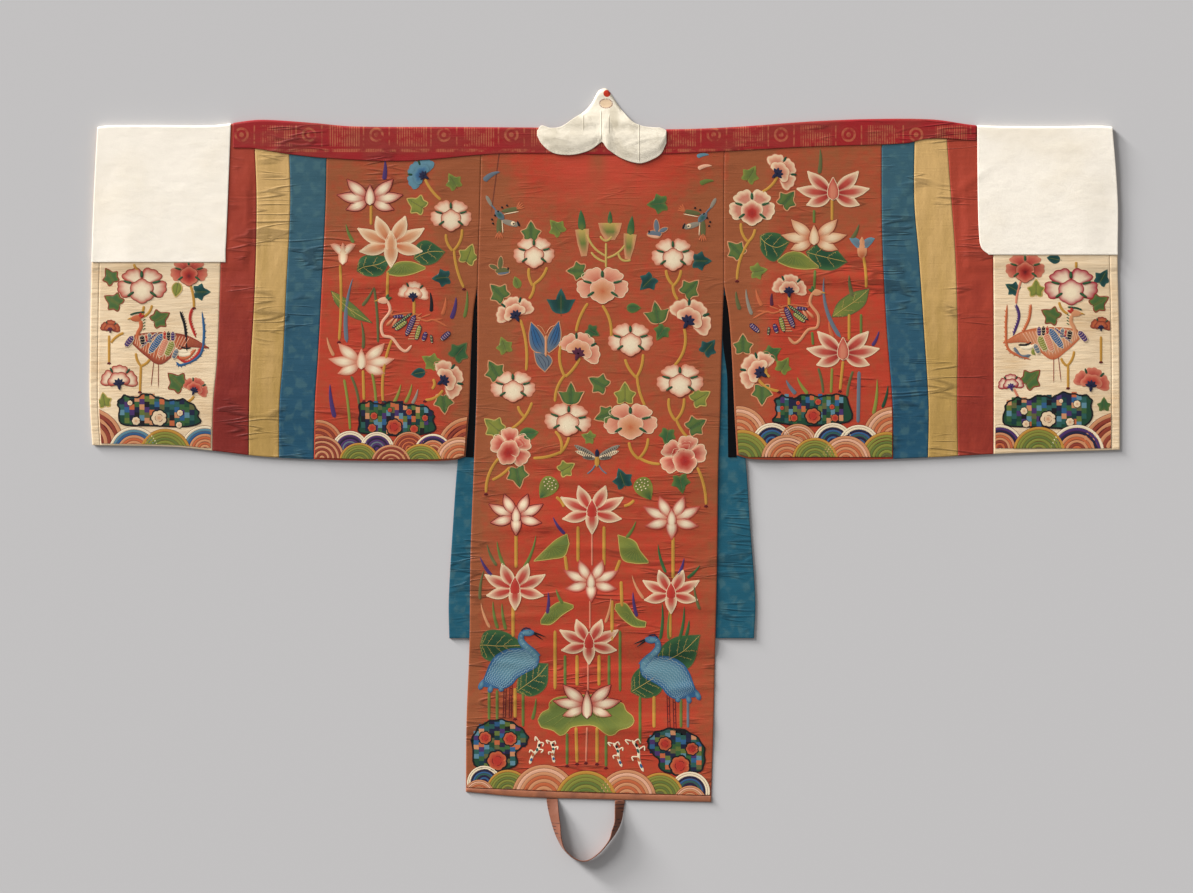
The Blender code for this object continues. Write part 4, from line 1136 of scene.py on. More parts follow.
def lotus(flower, words, hang=0.30):
    """Three pairs of pointed petals, an upright drop and, when full, a petal that hangs."""
    full = words[0] == "lotus"
    *threads, edge, middle, rim = LOTUSES[words[1]]
    flower.squash, style = 0.92, {"edge": edge, "edge_width": 0.4}
    for order, (right, left, reach) in enumerate(LEANS[words[0]]):
        way = rays(right, left)
        flower.blade(0.08 * way - 0.06j, reach * way, 0.20, *threads, blunt=(0.95, 1.1), lift=1 + 0.5 * order,
                     bend=[-0.04, 0.04], count=13, **style)
    if full:
        flower.blade(0.10j, -0.84j, 0.20, *threads, blunt=(0.95, 1.1), lift=2.8, **style)
    flower.blade(-hang * 1j, 0.36j if full else 0.44j, 0.17, middle, middle, rim, blunt=(0.45, 0.95), lift=3.6, **style)


def lotus_bud(flower, words):
    """A closed lotus: a drop between two petals that open."""
    flower.blade(-0.5j, [0.85 + 0.5j, -0.85 + 0.5j], 0.26, *words[1:4], bend=[0.16, -0.16], blunt=(0.9, 0.7), lift=1)
    flower.blade(-0.85j, 0.62j, 0.32, *words[4:], blunt=(0.5, 0.9), lift=2)


# half outlines of leaves from the stalk to the tip, in hundredths, and their threads with an outline
LEAF_HALVES = {
    "ivy": "0 0 18 -12 40 -12 42 4 42 18 60 44 44 52 28 60 16 84 0 106",
    "maple": "0 -4 20 -2 38 8 48 26 56 44 66 62 46 60 28 58 22 66 15 86 0 112",
    "plain": "0 0 16 2 30 18 37 38 33 58 23 78 11 93 0 105"}
LEAF_THREADS = {name: threads for name, *threads in rows_of("""
    light leaf leaf lime none, green green green leaf none, dark dark_green deep_teal teal none,
    edged green leaf green tan, rimmed leaf green leaf brown_red, lime lime lime leaf straw,
    deep dark_green green green moss""")}


def leaf(shape, words):
    """Two halves worked outwards from a midrib; the place given is the leaf's middle."""
    *threads, edge = LEAF_THREADS[words[1]]
    shape.turn *= 0.92
    size, outline = abs(shape.turn), dots(LEAF_HALVES[words[0]]) / 100
    sides = np.linspace(-0.45j, 0.55j, 17), spline(outline, 17) - 0.45j
    for shape.flip in (True, False):
        shape.sew(sides, *threads, lift=0.6, relief=0.6, fan=True)
    if edge != "none":
        half = 1.04 * spline(outline, 21)
        whole = np.concatenate([half, -half.conj()[::-1]]) - 0.468j
        shape.line(whole, 0.572 / size, edge, count=46, lift=0.8, relief=0.5)
    shape.line("0 -.6 0 0 0 .34", 0.24 / size, "moss", count=9, lift=1.6, relief=0.2)


def veined_leaf(chart, words, *edges):
    """A large leaf between two edge lines that share their ends: midrib, side veins and a net."""
    near, far = (spline(dots(edge).conj(), 25) for edge in edges)
    threads = words[2:] or ["green", "dark_green", "green"]
    chart.sew((near, far), *threads, lift=0.4, relief=0.5, edge="moss", edge_width=0.5, files=13)
    veins, middle = Motif(chart, 0), mix(near, far, 0.5)
    veins.line(middle[::4], 0.26, "straw", count=15, lift=2.2, relief=0.5, across=True)
    for index in (int(share * 24) for share in np.linspace(0.06, 0.80, int(words[1]))):
        start = middle[index]
        for side in (near, far):
            end = mix(start, side[min(index + 5, 24)], 0.88)
            veins.line([start, end], 0.15, "straw", count=7, lift=2.2, relief=0.4)
            twig = (end - start) / abs(end - start) * 1.5j
            for part, turn in ((0.3, 1), (0.5, -1), (0.7, 1), (0.9, -1)):
                spot = mix(start, end, part)
                veins.line([spot, spot + twig * turn], 0.12, "straw", count=4, lift=2, relief=0.3)


def lotus_leaf(chart, words, *edges):
    """A lotus leaf seen from the side, between an upper and a wavy lower edge line."""
    near, far = (spline(dots(edge).conj(), 33) for edge in edges)
    chart.sew((near, far), "leaf", "leaf", "lime", lift=0.5, relief=0.5, edge="straw", edge_width=0.6, files=13)
    root = mix(near[16], far[16], 0.15)
    for index in (int(share * 32) for share in np.linspace(0.08, 0.92, 9)):
        reach = mix(near[index], far[index], 0.88)
        Motif(chart, 0).line([mix(root, reach, 0.12), reach], 0.15, "lime", count=9, lift=2.2, relief=0.4)


def stem(chart, words, row):
    """A stem, or a blade of grass that runs to a point."""
    (kind, thread, half), (x0, y0, x1, y1, bend) = words, (row + [0.0])[:5]
    blunt, count = ((0.12, 0.6), 17) if kind == "grass" else ((0.05, 0.05), 29)
    chart.sew(blades(at(x0, y0), at(x1, y1), float(half), blunt, bend, count), thread, lift=1, relief=0.8, across=True)


def roots(foot, words):
    """Small dark roots at the lower end of a stem: three short blades."""
    foot.blade(0, 3.2 * rays(-130, -90, -50), 0.8, "dark_red", blunt=(0.5, 0.8), count=5, lift=1, files=3)


# ---------------------------------------------------------------- rocks and waves
ROCK_THREADS = "teal green navy tan dark_green blue moss violet teal orange green black sky deep_teal navy leaf".split()


def inside(points, outline):
    """Whether places lie inside an outline: the number of its sides that cross to their right is odd."""
    a, b = outline, np.roll(outline, -1)
    y = points.imag[..., None]
    crosses = (a.imag > y) != (b.imag > y)
    slope = (b.real - a.real) / np.where(b.imag == a.imag, 1e-9, b.imag - a.imag)
    return (crosses & (points.real[..., None] < a.real + (y - a.imag) * slope)).sum(axis=-1) % 2 == 1


def rock(chart, words, outline, *holes):
    """A rock of small blocks in many colours inside a dark wavy outline, with round hollows."""
    _, seed, wide, high, hole = words
    cell, places = (float(wide), float(high)), dots(outline).conj()
    dice = np.random.default_rng(int(seed))
    middle, closed = places.mean(), np.append(places, places[0])
    ring = (spline(closed, 81) - middle) * 0.99
    chart.sew((middle + ring * 0.02, middle + ring), "deep_teal", "deep_teal", "dark_green", lift=0.6, relief=0.3,
              fan=True, files=9)
    xs = np.arange(places.real.min(), places.real.max() + cell[0], cell[0])
    ys = np.arange(places.imag.min(), places.imag.max() + cell[1], cell[1])
    across, down = np.meshgrid(np.arange(len(xs)), np.arange(len(ys)))
    grid = xs[across] + 1j * (ys[down] + cell[1] * 0.5 * (across % 2))
    pick = (across * 5 + down * 3 + dice.integers(0, 3, across.shape)) % len(ROCK_THREADS)
    kept = inside(middle + (grid - middle) * 1.05, places)
    step = np.linspace(-0.5, 0.5, 3) * cell[0]
    for index, thread in enumerate(ROCK_THREADS):
        cells = grid[(pick == index) & kept]
        if len(cells):
            near, far = (cells[:, None] + step + 1j * side * 0.5 * cell[1] for side in (1, -1))
            chart.sew((near, far), thread, lift=1.8, relief=0.05, across=True, files=3)
    line = spline(closed, len(places) * 6)
    slope = np.gradient(line)
    out = -1j * slope / np.abs(slope) * np.sign(((line - middle) * (-1j * slope).conj()).real.mean())
    wavy = line + out * (0.7 * np.sin(np.arange(len(line)) * 1.3) - 0.6)
    chart.sew(((wavy + out * 0.8)[None], (wavy - out * 0.8)[None]), "black", lift=3.0, relief=0.4, across=True, files=3)
    threads = ("red", "red", "orange") if hole == "red" else ("tan", "cream", "cream")
    for x, y, radius in holes:
        hollow = Motif(chart, at(x, y), radius)
        hollow.disc(0, 1.22, "black", scallops=7, depth=0.14, count=29, lift=2.8, relief=0.2, files=3)
        hollow.disc(0, 1.02, *threads, scallops=7, depth=0.12, count=29, lift=3.6, relief=0.4, files=4)
        for start in (20, 140, 260) if radius > 4 else ():
            hollow.line(0.52 * rays(start, start + 45, start + 95), 0.05, "dark_red", count=7, lift=4, relief=0.4)


# threads of a wave's rings, from the outside in
WAVES = {name: threads for name, *threads in rows_of("""
    green gold lime lime leaf lime leaf lime moss leaf, pink tan pale_pink tan orange tan orange tan orange orange,
    orange tan orange brown_red orange brown_red orange brown_red orange brown_red,
    blue white white navy blue teal navy blue navy teal,
    violet white violet navy tan orange tan brown_red orange brown_red,
    ink white white violet navy violet grey_blue violet navy violet,
    teal white sky blue tan orange tan orange tan brown_red,
    brown tan brown_red tan brown_red tan brown_red tan brown_red tan""")}


def waves(chart, words, *rows):
    """Rounds of ringed waves cut off at the hem, each over the ones before."""
    hem = float(words[1])
    for order, (kind, x, y, radius) in enumerate(rows):
        rims = radius * np.linspace(1.0, 0.0, len(WAVES[kind]) + 1)

        def ring(inner, outer):
            """Both edges of a ring, from where its outer edge meets the hem round to there again."""
            start = math.asin(min(max((y - hem) / outer, -1.0), 1.0))
            spin = np.exp(1j * np.linspace(start, math.pi - start, 25))
            edges = (at(x, y) + spin * reach for reach in (inner, outer))
            return [edge.real + 1j * np.maximum(edge.imag, -hem) for edge in edges]

        for thread, outer, inner in zip(WAVES[kind], rims, rims[1:]):
            if outer > y - hem + 0.5:
                chart.sew(ring(max(inner + 0.30, 0.05), outer), thread, lift=3.0 + 0.9 * order, relief=0.55, fan=True)
        chart.sew(ring(0.05, radius + 0.35), "dark_red", lift=2.5 + 0.9 * order, relief=0.1, fan=True, files=3)


# ---------------------------------------------------------------- birds, butterflies and pods
def heron(bird, words, squash=1.0):
    """A heron that stands with its beak open: scaled body, bent neck and long thin legs."""
    bird.squash = squash
    for top, foot in ((1 - 18j, 0 - 54j), (-5 - 22j, -6 - 54j)):
        for shift in (-1.1, 1.1):
            bird.line([top + shift, foot + shift], 0.4, "dark_red", lift=0.8)
        for spot in mix(top, foot, np.linspace(0.15, 0.95, 5)):
            bird.line([spot - 1.2, spot + 1.2], 0.3, "dark_red", count=5, lift=0.8)
    back = spline(dots("28 12 15 16 0 16 -13 10 -20 1 -24 -9 -29 -21"), 33)
    chest = spline(dots("29 6 26 -2 15 -8 7 -13 2 -19 -5 -23 -14 -23"), 33)
    bird.sew((back, chest), "sky", "sky", "blue", lift=2.0, relief=0.7, files=13, edge="blue", edge_width=0.5)
    bird.blade(dots("-26 -14 -18 -19 -9 -21"), dots("-31 -25 -21 -28 -9 -27"), 2.6, "blue", "sky", "blue", lift=2.4)
    for row, share in enumerate(np.linspace(0.08, 0.94, 11)):
        line = mix(back, chest, share)[3 + row % 2:31]
        slope = np.gradient(line)
        waved = line + 0.55j * slope / np.abs(slope) * np.cos((np.arange(len(line)) + row) * math.pi)
        bird.line(waved, 0.20, "mist", count=60, lift=4.4, relief=0.35)
    neck = spline(dots("27 7 22 13 15 19 11 25 12 31 16 34"), 25)
    near, far = sides_of(neck, np.linspace(4.6, 2.3, 25))
    bird.sew((near, far), "sky", "sky", "blue", lift=3.2, relief=0.8)
    slope, side = np.gradient(neck), (near[0] - neck) * 0.5
    for index in (int(share * 24) for share in np.linspace(0.12, 0.85, 7)):
        spot, across = neck[index], side[index]
        bird.line([spot - across, spot + slope[index] * 0.5, spot + across], 0.2, "mist", count=6, lift=5.4, relief=0.3)
    bird.blade(12 + 32j, 25 + 32.5j, 3.4, "sky", "sky", "blue", blunt=(0.5, 0.6), lift=3.8)
    bird.line("11 34 15 37 21 36", 0.6, "navy", lift=4.4)
    bird.blade(dots("23 33 23 32"), dots("36 28 33 25"), 0.8, "black", blunt=(0.2, 0.8), lift=4)
    bird.disc(19.5 + 33j, 1.3, "white", lift=5, relief=0.3, files=3)
    bird.disc(19.7 + 33j, 0.65, "black", lift=5.8, relief=0.3, files=3)


# thread, half width, base and tip of the striped feathers on a phoenix's wing
FEATHERS = {"sleeve": rows_of("""
    violet 1.5 -7 13 4 14, green 1.3 12 17 -8 2, lime 2.2 7 9 -5 0, violet 2.5 15 15 6 -6, lime 2.2 20 5 16 -10,
    violet 2 26 -2 23 -11, moss 1.1 31 -5 32 -13, violet 2.4 50 -2 41 -10"""), "cuff": rows_of("""
    black 2.9 -17 8 -15.5 -2.5, red 1.6 -13 9 -12 0, grey_blue 2.3 -9.8 10 -8.5 -.5, blue 3.6 4 9.5 -10 -10.5,
    violet 1.3 -1 10.5 -19 -5, pink 3.4 8.5 6 0 -14.5, red 1.8 5.8 12 5.6 3, black 2.1 9.6 12 9.4 1.5,
    lime 3.5 14 2 7 -13.5, violet 2.2 14 11.5 13.8 1.5, grey_blue 2.4 18.5 -6 14 -16, violet 3 -25.6 7 -34 -4""")}


def phoenix(chart, words, place, *tail):
    """A phoenix: crested head, bent neck, a wing of striped feathers and a fanned tail."""
    kind, body, outline = words[1:4]
    bird = Motif(chart, at(*place), flip="flip" in words)
    if kind == "sleeve":
        bird.line("-13 31 -10 19 -18 7 -17 -5 -8 -8 0 -18 6 -21 12 -15", 1.4, outline, count=40, lift=1.4, files=5)
        bird.line("-7 20 -8 15 6 17 20 15", 0.8, "orange", count=24, lift=1.4)
        bird.line("-6 14 10 14 26 9 34 10 48 3", 0.9, "orange", count=30, lift=1.4)
        bird.blade(dots("13 10 20 12 30 10"), dots("22 17 31 16 43 11"), 0.8, "orange", lift=1.2, files=3)
        bird.blade(dots("-6 12 -2 13"), dots("-14 4 -8 3"), 1.6, "pale_pink", "tan", "orange", lift=1)
        for down in np.linspace(12, -9, 9):
            rung = 11.5 + (0.43 + 1j) * down
            bird.line([rung, rung + 6.1 - 0.14 * down], 0.5, "tan", lift=1.6)
        head, crest, edge = -16 + 30j, "green", "navy"
    else:
        back = spline(dots("-24 8 -10 10 12 10 31 6 50 -5"), 25)
        belly = spline(dots("-26 -1 -14 -12 2 -21 24 -5 50 -5"), 25)
        bird.sew((back, belly), body, body, outline, lift=1.2, relief=0.8, files=9, edge=outline, edge_width=0.5)
        for index in range(1, 19):
            bird.line([mix(back[index], belly[index], share) for share in (0.06, 0.5, 0.9)], 0.4, "pale_pink", lift=2.5)
        bird.line("-22 3 -21 10 -18 16 -18.5 23", 1.9, body, count=15, lift=2, files=5)
        bird.line("-29 28 -23 30 -14 31", 0.9, "dark_green", lift=4)
        bird.blade(-16.5 + 1j * np.arange(13, 25, 3), -13.5 + 1j * np.arange(15, 27, 3), 0.5, "green", lift=1, files=3)
        legs = dots("-5 -16 -.6 -17"), dots("-8 -44 -.6 -45")
        bird.blade(*legs, 0.4, "brown_red", blunt=(0.1, 0.1), lift=0.6, files=3)
        head, crest, edge = -22 + 25j, "red", "cream"
    bird.blade(head + 4.5, head - 7 - 1j, 3.3, body, blunt=(0.4, 0.7), lift=3)
    bird.blade(head - 5, head - 10 - 1.5j, 0.9, "gold", blunt=(0.2, 0.8), lift=3.4, files=3)
    bird.blade(head + 2 + rays(60, 30), head + 2 + rays(70, 25) * 6.5, 1.5, crest, blunt=(0.4, 0.7), lift=3.4)
    bird.disc(head - 1, 0.8, "black", lift=4.4, relief=0.3, files=3)
    for thread, half, *ends in FEATHERS[kind]:
        base, tip = dots(ends)
        bird.blade(base, tip, half, thread, blunt=(0.25, 0.3), lift=3.6, edge=edge, edge_width=0.35)
        way = (tip - base) / abs(tip - base)
        for spot in mix(base, tip, np.linspace(0.12, 0.88, max(3, int(abs(tip - base) / 2.4)))):
            side = 0.8j * way * half
            bird.line([spot - side, spot + way * 0.7, spot + side], 0.22, "cream", count=5, lift=5.6, relief=0.3)
    for thread, half, *line in tail:
        bird.line(dots(line), half, thread, count=30, taper=0.15, lift=1, files=5)
        places = spline(dots(line), 30)
        places, run = places[3:28:2], np.gradient(places)[3:28:2]
        barbs = places + run / np.abs(run) * np.exp(2.2j) * half * 2.4
        bird.blade(places, barbs, half * 0.45, thread, blunt=(0.3, 0.8), count=5, lift=0.7, relief=0.5, files=3)


def wing(chart, words, *edges):
    """A butterfly's wing between two edge lines, with three dark veins."""
    near, far = (spline(dots(edge).conj(), 17) for edge in edges)
    chart.sew((near, far), words[1], words[1], "grey_blue", lift=1.2, relief=0.6, edge="tan", edge_width=0.6)
    for share in (0.25, 0.5, 0.75):
        Motif(chart, 0).line(mix(near, far, share)[3:14], 0.2, "navy", count=11, lift=3, relief=0.3)


def feelers(body, words):
    """A butterfly's thin body and its two long feelers."""
    body.line("0 10 0 0 0 -12", 1.2, "tan", lift=3, files=5)
    body.line("0 10 -4 17 -9 20", 0.35, "tan", lift=2)
    body.line("0 10 4 17 10 20", 0.35, "tan", lift=2)


def moth(side, words):
    """A bird-like moth with barred wings spread to both sides."""
    for side.flip in (False, True):
        for row, (tip, thread) in enumerate(((23 + 12j, "grey"), (22 + 6j, "cream"), (15 + 0j, "grey"))):
            base = 1.5 - row * 0.8j
            side.blade(base, tip, 2.8 - 0.4 * row, thread, blunt=(0.5, 0.6), lift=1.4 + 0.5 * row, relief=0.5)
            for share in np.linspace(0.2, 0.92, 9):
                bar = 1.9j * (tip - base) / abs(tip - base) * (1.1 - abs(2 * share - 1)) * np.array([-1, 1])
                side.line(mix(base, tip, share) + bar, 0.3, "black", count=5, lift=3.8 + 0.5 * row, relief=0.3)
        side.line("1 -7 5 -13 10 -17", 0.7, "grey_blue", lift=1)
    side.blade(2j, -10j, 2.4, "gold", blunt=(0.6, 0.5), lift=4)
    side.blade(-1j, 8j, 2.0, "navy", blunt=(0.6, 0.6), lift=4.2)


def dragonfly(fly, words):
    """An insect like a bird: a dotted body, two fan-tipped wings, a long tail and a round eye."""
    for thread, half, *ends in rows_of("""
            grey_blue .8 -2 3 -9 11, grey 1.8 -7 8 -13 19, moss 2.3 2 3 20 6, moss 2.6 0 -2 0 -21, cream .5 4 0 20 3,
            cream .5 3 -5 4 -19, grey 2.8 2 -6 20 -11"""):
        fly.blade(*dots(ends), half, thread, blunt=(0.5, 0.4), lift=1.2, relief=0.6)
    fan = 9 * np.exp(1j * np.array([0.6, 0.3, 0.0, -0.3]))
    for tip, turn in ((17 + 5j, 0.5), (-16j, -1.7)):
        fly.blade(tip, tip + fan * np.exp(1j * turn), 0.7, "orange", lift=1, files=3)
    fly.blade(-4 + 4j, 5 - 5j, 3.2, "grey_blue", "teal", "grey_blue", blunt=(0.6, 0.6), lift=2.4)
    spots = dots("-7 -5 -6 -9 -4 -1 -1 3 3 7 8 9")
    fly.blade(spots - 0.8 + 0.9j, spots + 0.8 - 0.9j, 1.0, "black", blunt=(0.5, 0.6), lift=4, files=3)
    fly.disc(14 - 9j, 2.2, "cream", lift=4, files=3)
    fly.disc(14.4 - 9.2j, 1.0, "black", lift=5.4, files=3)
    fly.blade(18 - 6j, 20.5 - 12j, 1.0, "black", lift=3.4, files=3)


def small_bird(bird, words):
    """A small bird with one wing up, a short tail, a pale belly and a dark eye."""
    style = {"blunt": (0.5, 0.6), "lift": 1.2, "relief": 0.7, "edge": "tan", "edge_width": 0.4}
    for part, half, *ends in rows_of("1 2.7 -1 -2 0 12, 1 2.3 -3 -1 -12 3, 1 3.8 -6 -3 9 -3, 2 2 -4 -6 9 -4"):
        bird.blade(*dots(ends), half, words[int(part)], **style)
    bird.blade(7 + 1j, 7 - 2j, 0.8, "black", lift=4, files=3)


def bud_cup(cup, words, wide):
    """A cup with a pointed bud in it."""
    side = np.array([wide + 0.8j, wide * 0.8 - 0.1j, wide * 0.4 - 0.9j])
    cup.sew((side, -side.conj()), "straw", "leaf", "tan", lift=1, relief=0.6)
    cup.blade(0.7j, 2.0j, 0.24, "leaf", "green", "green", blunt=(0.3, 0.8), lift=0.6)


def lotus_pod(pod, words):
    """A seed pod seen at a slant: a green cup and a disc with rings of seeds."""
    pod.blade(-1.25j, 0.75j, 0.85, "green", "leaf", "lime", blunt=(0.9, 0.35), lift=1)
    pod.squash = 0.80
    pod.disc(0.42j, 0.84, "lime", "leaf", "lime", count=25, lift=2.6, relief=0.5)
    for ring, many in ((0.26, 5), (0.58, 9)):
        spots = 0.42j + ring * rays(*np.linspace(0, 360, many, endpoint=False))
        style = {"blunt": (0.5, 0.5), "count": 5, "lift": 4.2, "relief": 0.5, "files": 3}
        pod.blade(spots - 0.07, spots + 0.07, 0.075, "cream", **style)


def fungus(herb, words):
    """A sacred fungus: a white jointed stalk with curled arms and a few coloured blocks."""
    height = abs(herb.turn)
    herb.line("0 -.5 0 -.15 .1 .15 .04 .48", 1.4 / height, "white", count=17, taper=0.03, lift=1)
    for arm in rows_of("""
            .04 .4 .22 .44 .24 .3, .02 .46 -.14 .56 -.1 .4, .1 .15 .3 .18 .26 .05, .05 -.05 -.14 .02 -.16 -.1"""):
        herb.line(dots(arm), 0.65 / height, "white", lift=1.4)
    for spot, thread in ((-0.32j, "blue"), (-0.12j, "orange"), (0.08 + 0.12j, "teal"), (0.10 + 0.30j, "black")):
        herb.blade(spot - 0.07j, spot + 0.07j, 1.2 / height, thread, blunt=(0.3, 0.3), count=5, lift=3.4, relief=0.5,
                   files=3)


# ---------------------------------------------------------------- what each panel carries
# Each statement of a layout is a motif and its threads, then rows of numbers: mostly x, y, size and turn.
# the back: rows of peonies between leaves and insects, and below them a pond with lotuses, herons, rocks and waves
BODY = """
stem straw 1.1: 606 268 606 243, 606 256 587 234 .12, 606 262 591 252 .1, 600 236 612 236 -.4, 607 258 625 245 -.1,
    618 252 631 260 -.3;
stem gold 1.45: 529 268 533 286 -.1, 547 267 534 284 .1, 534 283 529 299 .1, 666 270 673 285 -.1, 681 270 673 286 .1,
    673 284 678 300 -.1, 588 303 576 332 -.06, 602 305 611 337 .1, 520 319 526 371 .06, 532 402 511 429 .1,
    518 406 525 417 -.1, 561 345 565 377 -.1, 580 358 565 377 .06, 566 374 555 402 -.1, 625 359 637 378 -.08,
    643 354 636 378 .08, 637 376 645 406 -.05, 684 328 674 366 .14, 669 398 676 421 -.12, 684 398 675 421 .12,
    676 419 687 437 -.05, 555 431 561 453 .14, 569 437 559 454 .08, 561 452 533 458 .06, 629 442 639 459 -.12,
    648 438 638 459 .12, 638 457 660 464 -.08, 499 458 486 493 -.1, 510 467 492 480 .06, 697 467 706 505 .06,
    556 497 564 507 .1, 634 500 624 506 .1;
roots: 486 493, 706 505, 577 763, 586 762, 597 763, 515 718, 567 765, 606 767;
cup: 583 242 16 4 .44, 610 231 10 0 1.2, 629 246 15 -6 .44;
wing blue: 531 322 529 336 532 349 545 357, 531 322 540 331 545 340 546 353, 559 321 561 333 559 344 549 353,
    559 321 553 328 548 337 546 350;
wing grey_blue: 534 352 537 364 545 372, 534 352 548 355 552 362 545 372;
feelers: 546 345;
moth: 597 457;
dragonfly: 499 214.5;
dragonfly flip: 703 217;
bird moss grey_blue: 501 268;
bird grey_blue pale_pink flip: 656 231;
pod: 548 487 11 -35, 644 488 11 30;
grass grey_blue 2.6: 484 181 500 172 .1;
grass sky 2: 697 157 709 155 .1;
grass pale_pink 2: 698 169 712 166 .1;
grass leaf 2.4: 700 184 714 181 .1;
ivy edged: 531 231 18 0, 498 292 19 45, 576 271 17 90, 691 288 19 -45, 494 370 19 30, 598 383 19 60, 604 416 18 110,
    697 425 19 -60, 518 477 20 190;
ivy light: 556 227 17 40, 504 345 16 20, 588 437 13 70;
ivy dark: 647 283 18 135, 702 261 18 -90, 709 347 17 -40, 622 478 19 20;
ivy lime: 625 393 19 0, 701 397 18 -60, 493 426 19 50, 567 468 15 -60;
ivy green: 661 333 16 150, 667 437 16 170, 681 484 18 190, 657 204 19 95;
maple dark: 561 303 24 0;
maple edged: 657 314 21 10, 571 395 21 0;
plain green: 633 308 15 -90, 528 434 20 -80;
plain light: 517 283 13 20;
ivy deep: 593 332 12 -120;
peony white: 534 253 21 0 .8, 673 255 22 0 .8, 630.5 340 23 0 .78, 513 387 23 0 .72, 680 381 24 0 .74,
    568 420 24 -5 .74;
peony rosy: 602.5 286 26 0 .74, 630.5 422 27 0 .7;
peony pink: 511 448 21 -30 .95, 683 456 24 20 .82;
side faded navy: 516 316 20 26, 687.5 322 24 -29;
side rosy plum: 578 354 22 -19;
stem gold 1.6: 516 534 516 568, 513 606 513 637, 578 526 578 562, 604 526 604 566, 673 536 673 579, 670 610 670 638,
    565 556 567 571, 620 560 615 573, 621 581 622 607, 612 600 612 641, 577 655 577 686, 576 727 577 763,
    599 655 599 686, 597 727 597 763, 515 688 515 718, 654 696 654 728, 555 630 555 690;
stem pink .9: 592 532 592 566, 590 600 590 629, 588 662 588 691, 587 727 586 762;
stem leaf 1.4: 620 630 620 692, 565 655 565 686, 567 733 567 765, 609 655 609 686, 606 735 606 767, 489 690 489 720,
    497 690 497 720, 523 691 523 727, 640 696 640 745, 681 699 681 728;
stem grey_blue 1.3: 688 700 688 728;
grass leaf 1.6: 505 568 497 541 .05, 523 569 536 535 -.06, 498 629 493 601 .05, 506 630 502 603 .04,
    563 604 556 589 .05, 626 538 636 521 -.06, 532 720 536 698 -.04, 669 640 671 606 .04;
grass green 1.6: 666 573 658 544 .05, 687 578 700 565 -.06, 660 640 662 603 -.04, 679 640 684 606 -.05,
    686 636 689 620 -.04;
grass moss 1.5: 497 566 487 544 .06, 480 600 484 570 .05, 700 610 694 584 .05;
grass violet 1.7: 492 576 480 557 .05, 547 614 548 592 -.05, 637 617 633 592 .04, 678 576 684 558 -.05,
    565 534 553 517 .06;
grass tan 1.4: 490 628 481 603 .05, 644 599 632 575 .06, 605 623 611 598 -.05;
veined 6: 480 646 484 633 495 630 509 634 524 645, 480 646 483 657 495 662 512 658 524 645,
    516 692 520 674 532 664 548 664, 516 692 532 696 546 686 548 664, 655 664 662 647 677 637 700 635,
    655 664 676 672 693 663 700 635, 631 692 633 676 645 666 664 668, 631 692 646 698 661 691 664 668;
lily: 567 534 556 540 545 550 534 561, 569 544 564 556 550 559 534 561, 648 561 640 551 634 541 618 535,
    648 563 634 563 622 558 618 535, 541 620 549 609 560 602 573 605, 541 624 551 624 562 615 573 608,
    646 622 636 618 626 604 616 604, 645 627 633 626 622 618 615 609,
    538 720 542 713 549 709 549.5 703 556 698 570 696 587 695 603 696 616 702 623 704 626 711 632 716 634 721,
    538 720 541 727 548 729 554 731 560 735.5 566 733 570 728 577 726 590 725 597 727 602 731 609 735.5 615 734
    619 730 627 728 632 725 634 721;
lotus dark_edge: 516 515 27;
lotus pale: 592 510 31, 515 587 30, 671 592 28, 589 642 29;
lotus white: 671.6 518 28, 591 581 27;
low_lotus dark_edge: 587 703 31 0 .55;
heron: 510 665;
heron flip: 669 674 1 0 1.06;
fungus: 534 752 26 -20, 552 752 22 12, 617 755 26 22, 637 756 34 22;
waves 797: blue 484 783 17, blue 690 792 20, green 508 792 22, green 660 797 24, pink 479 795 15, pink 690 802 16,
    pink 544 797 32, pink 627 799 29, green 586 802 31;
rock 3 5.2 4.6 red: 471 740 478 727 492 720 506 720 519 726 528 736 526 745 517 752 514 768 477 768, 485 738 6,
    510 739 6.5, 497 761 9.5;
rock 4 5.2 4.6 red: 647 741 655 732 672 728 690 732 703 744 705 759 699 772 663 772 658 760 649 750, 665 744 6.5,
    692 749 6, 680 766 9.5;"""
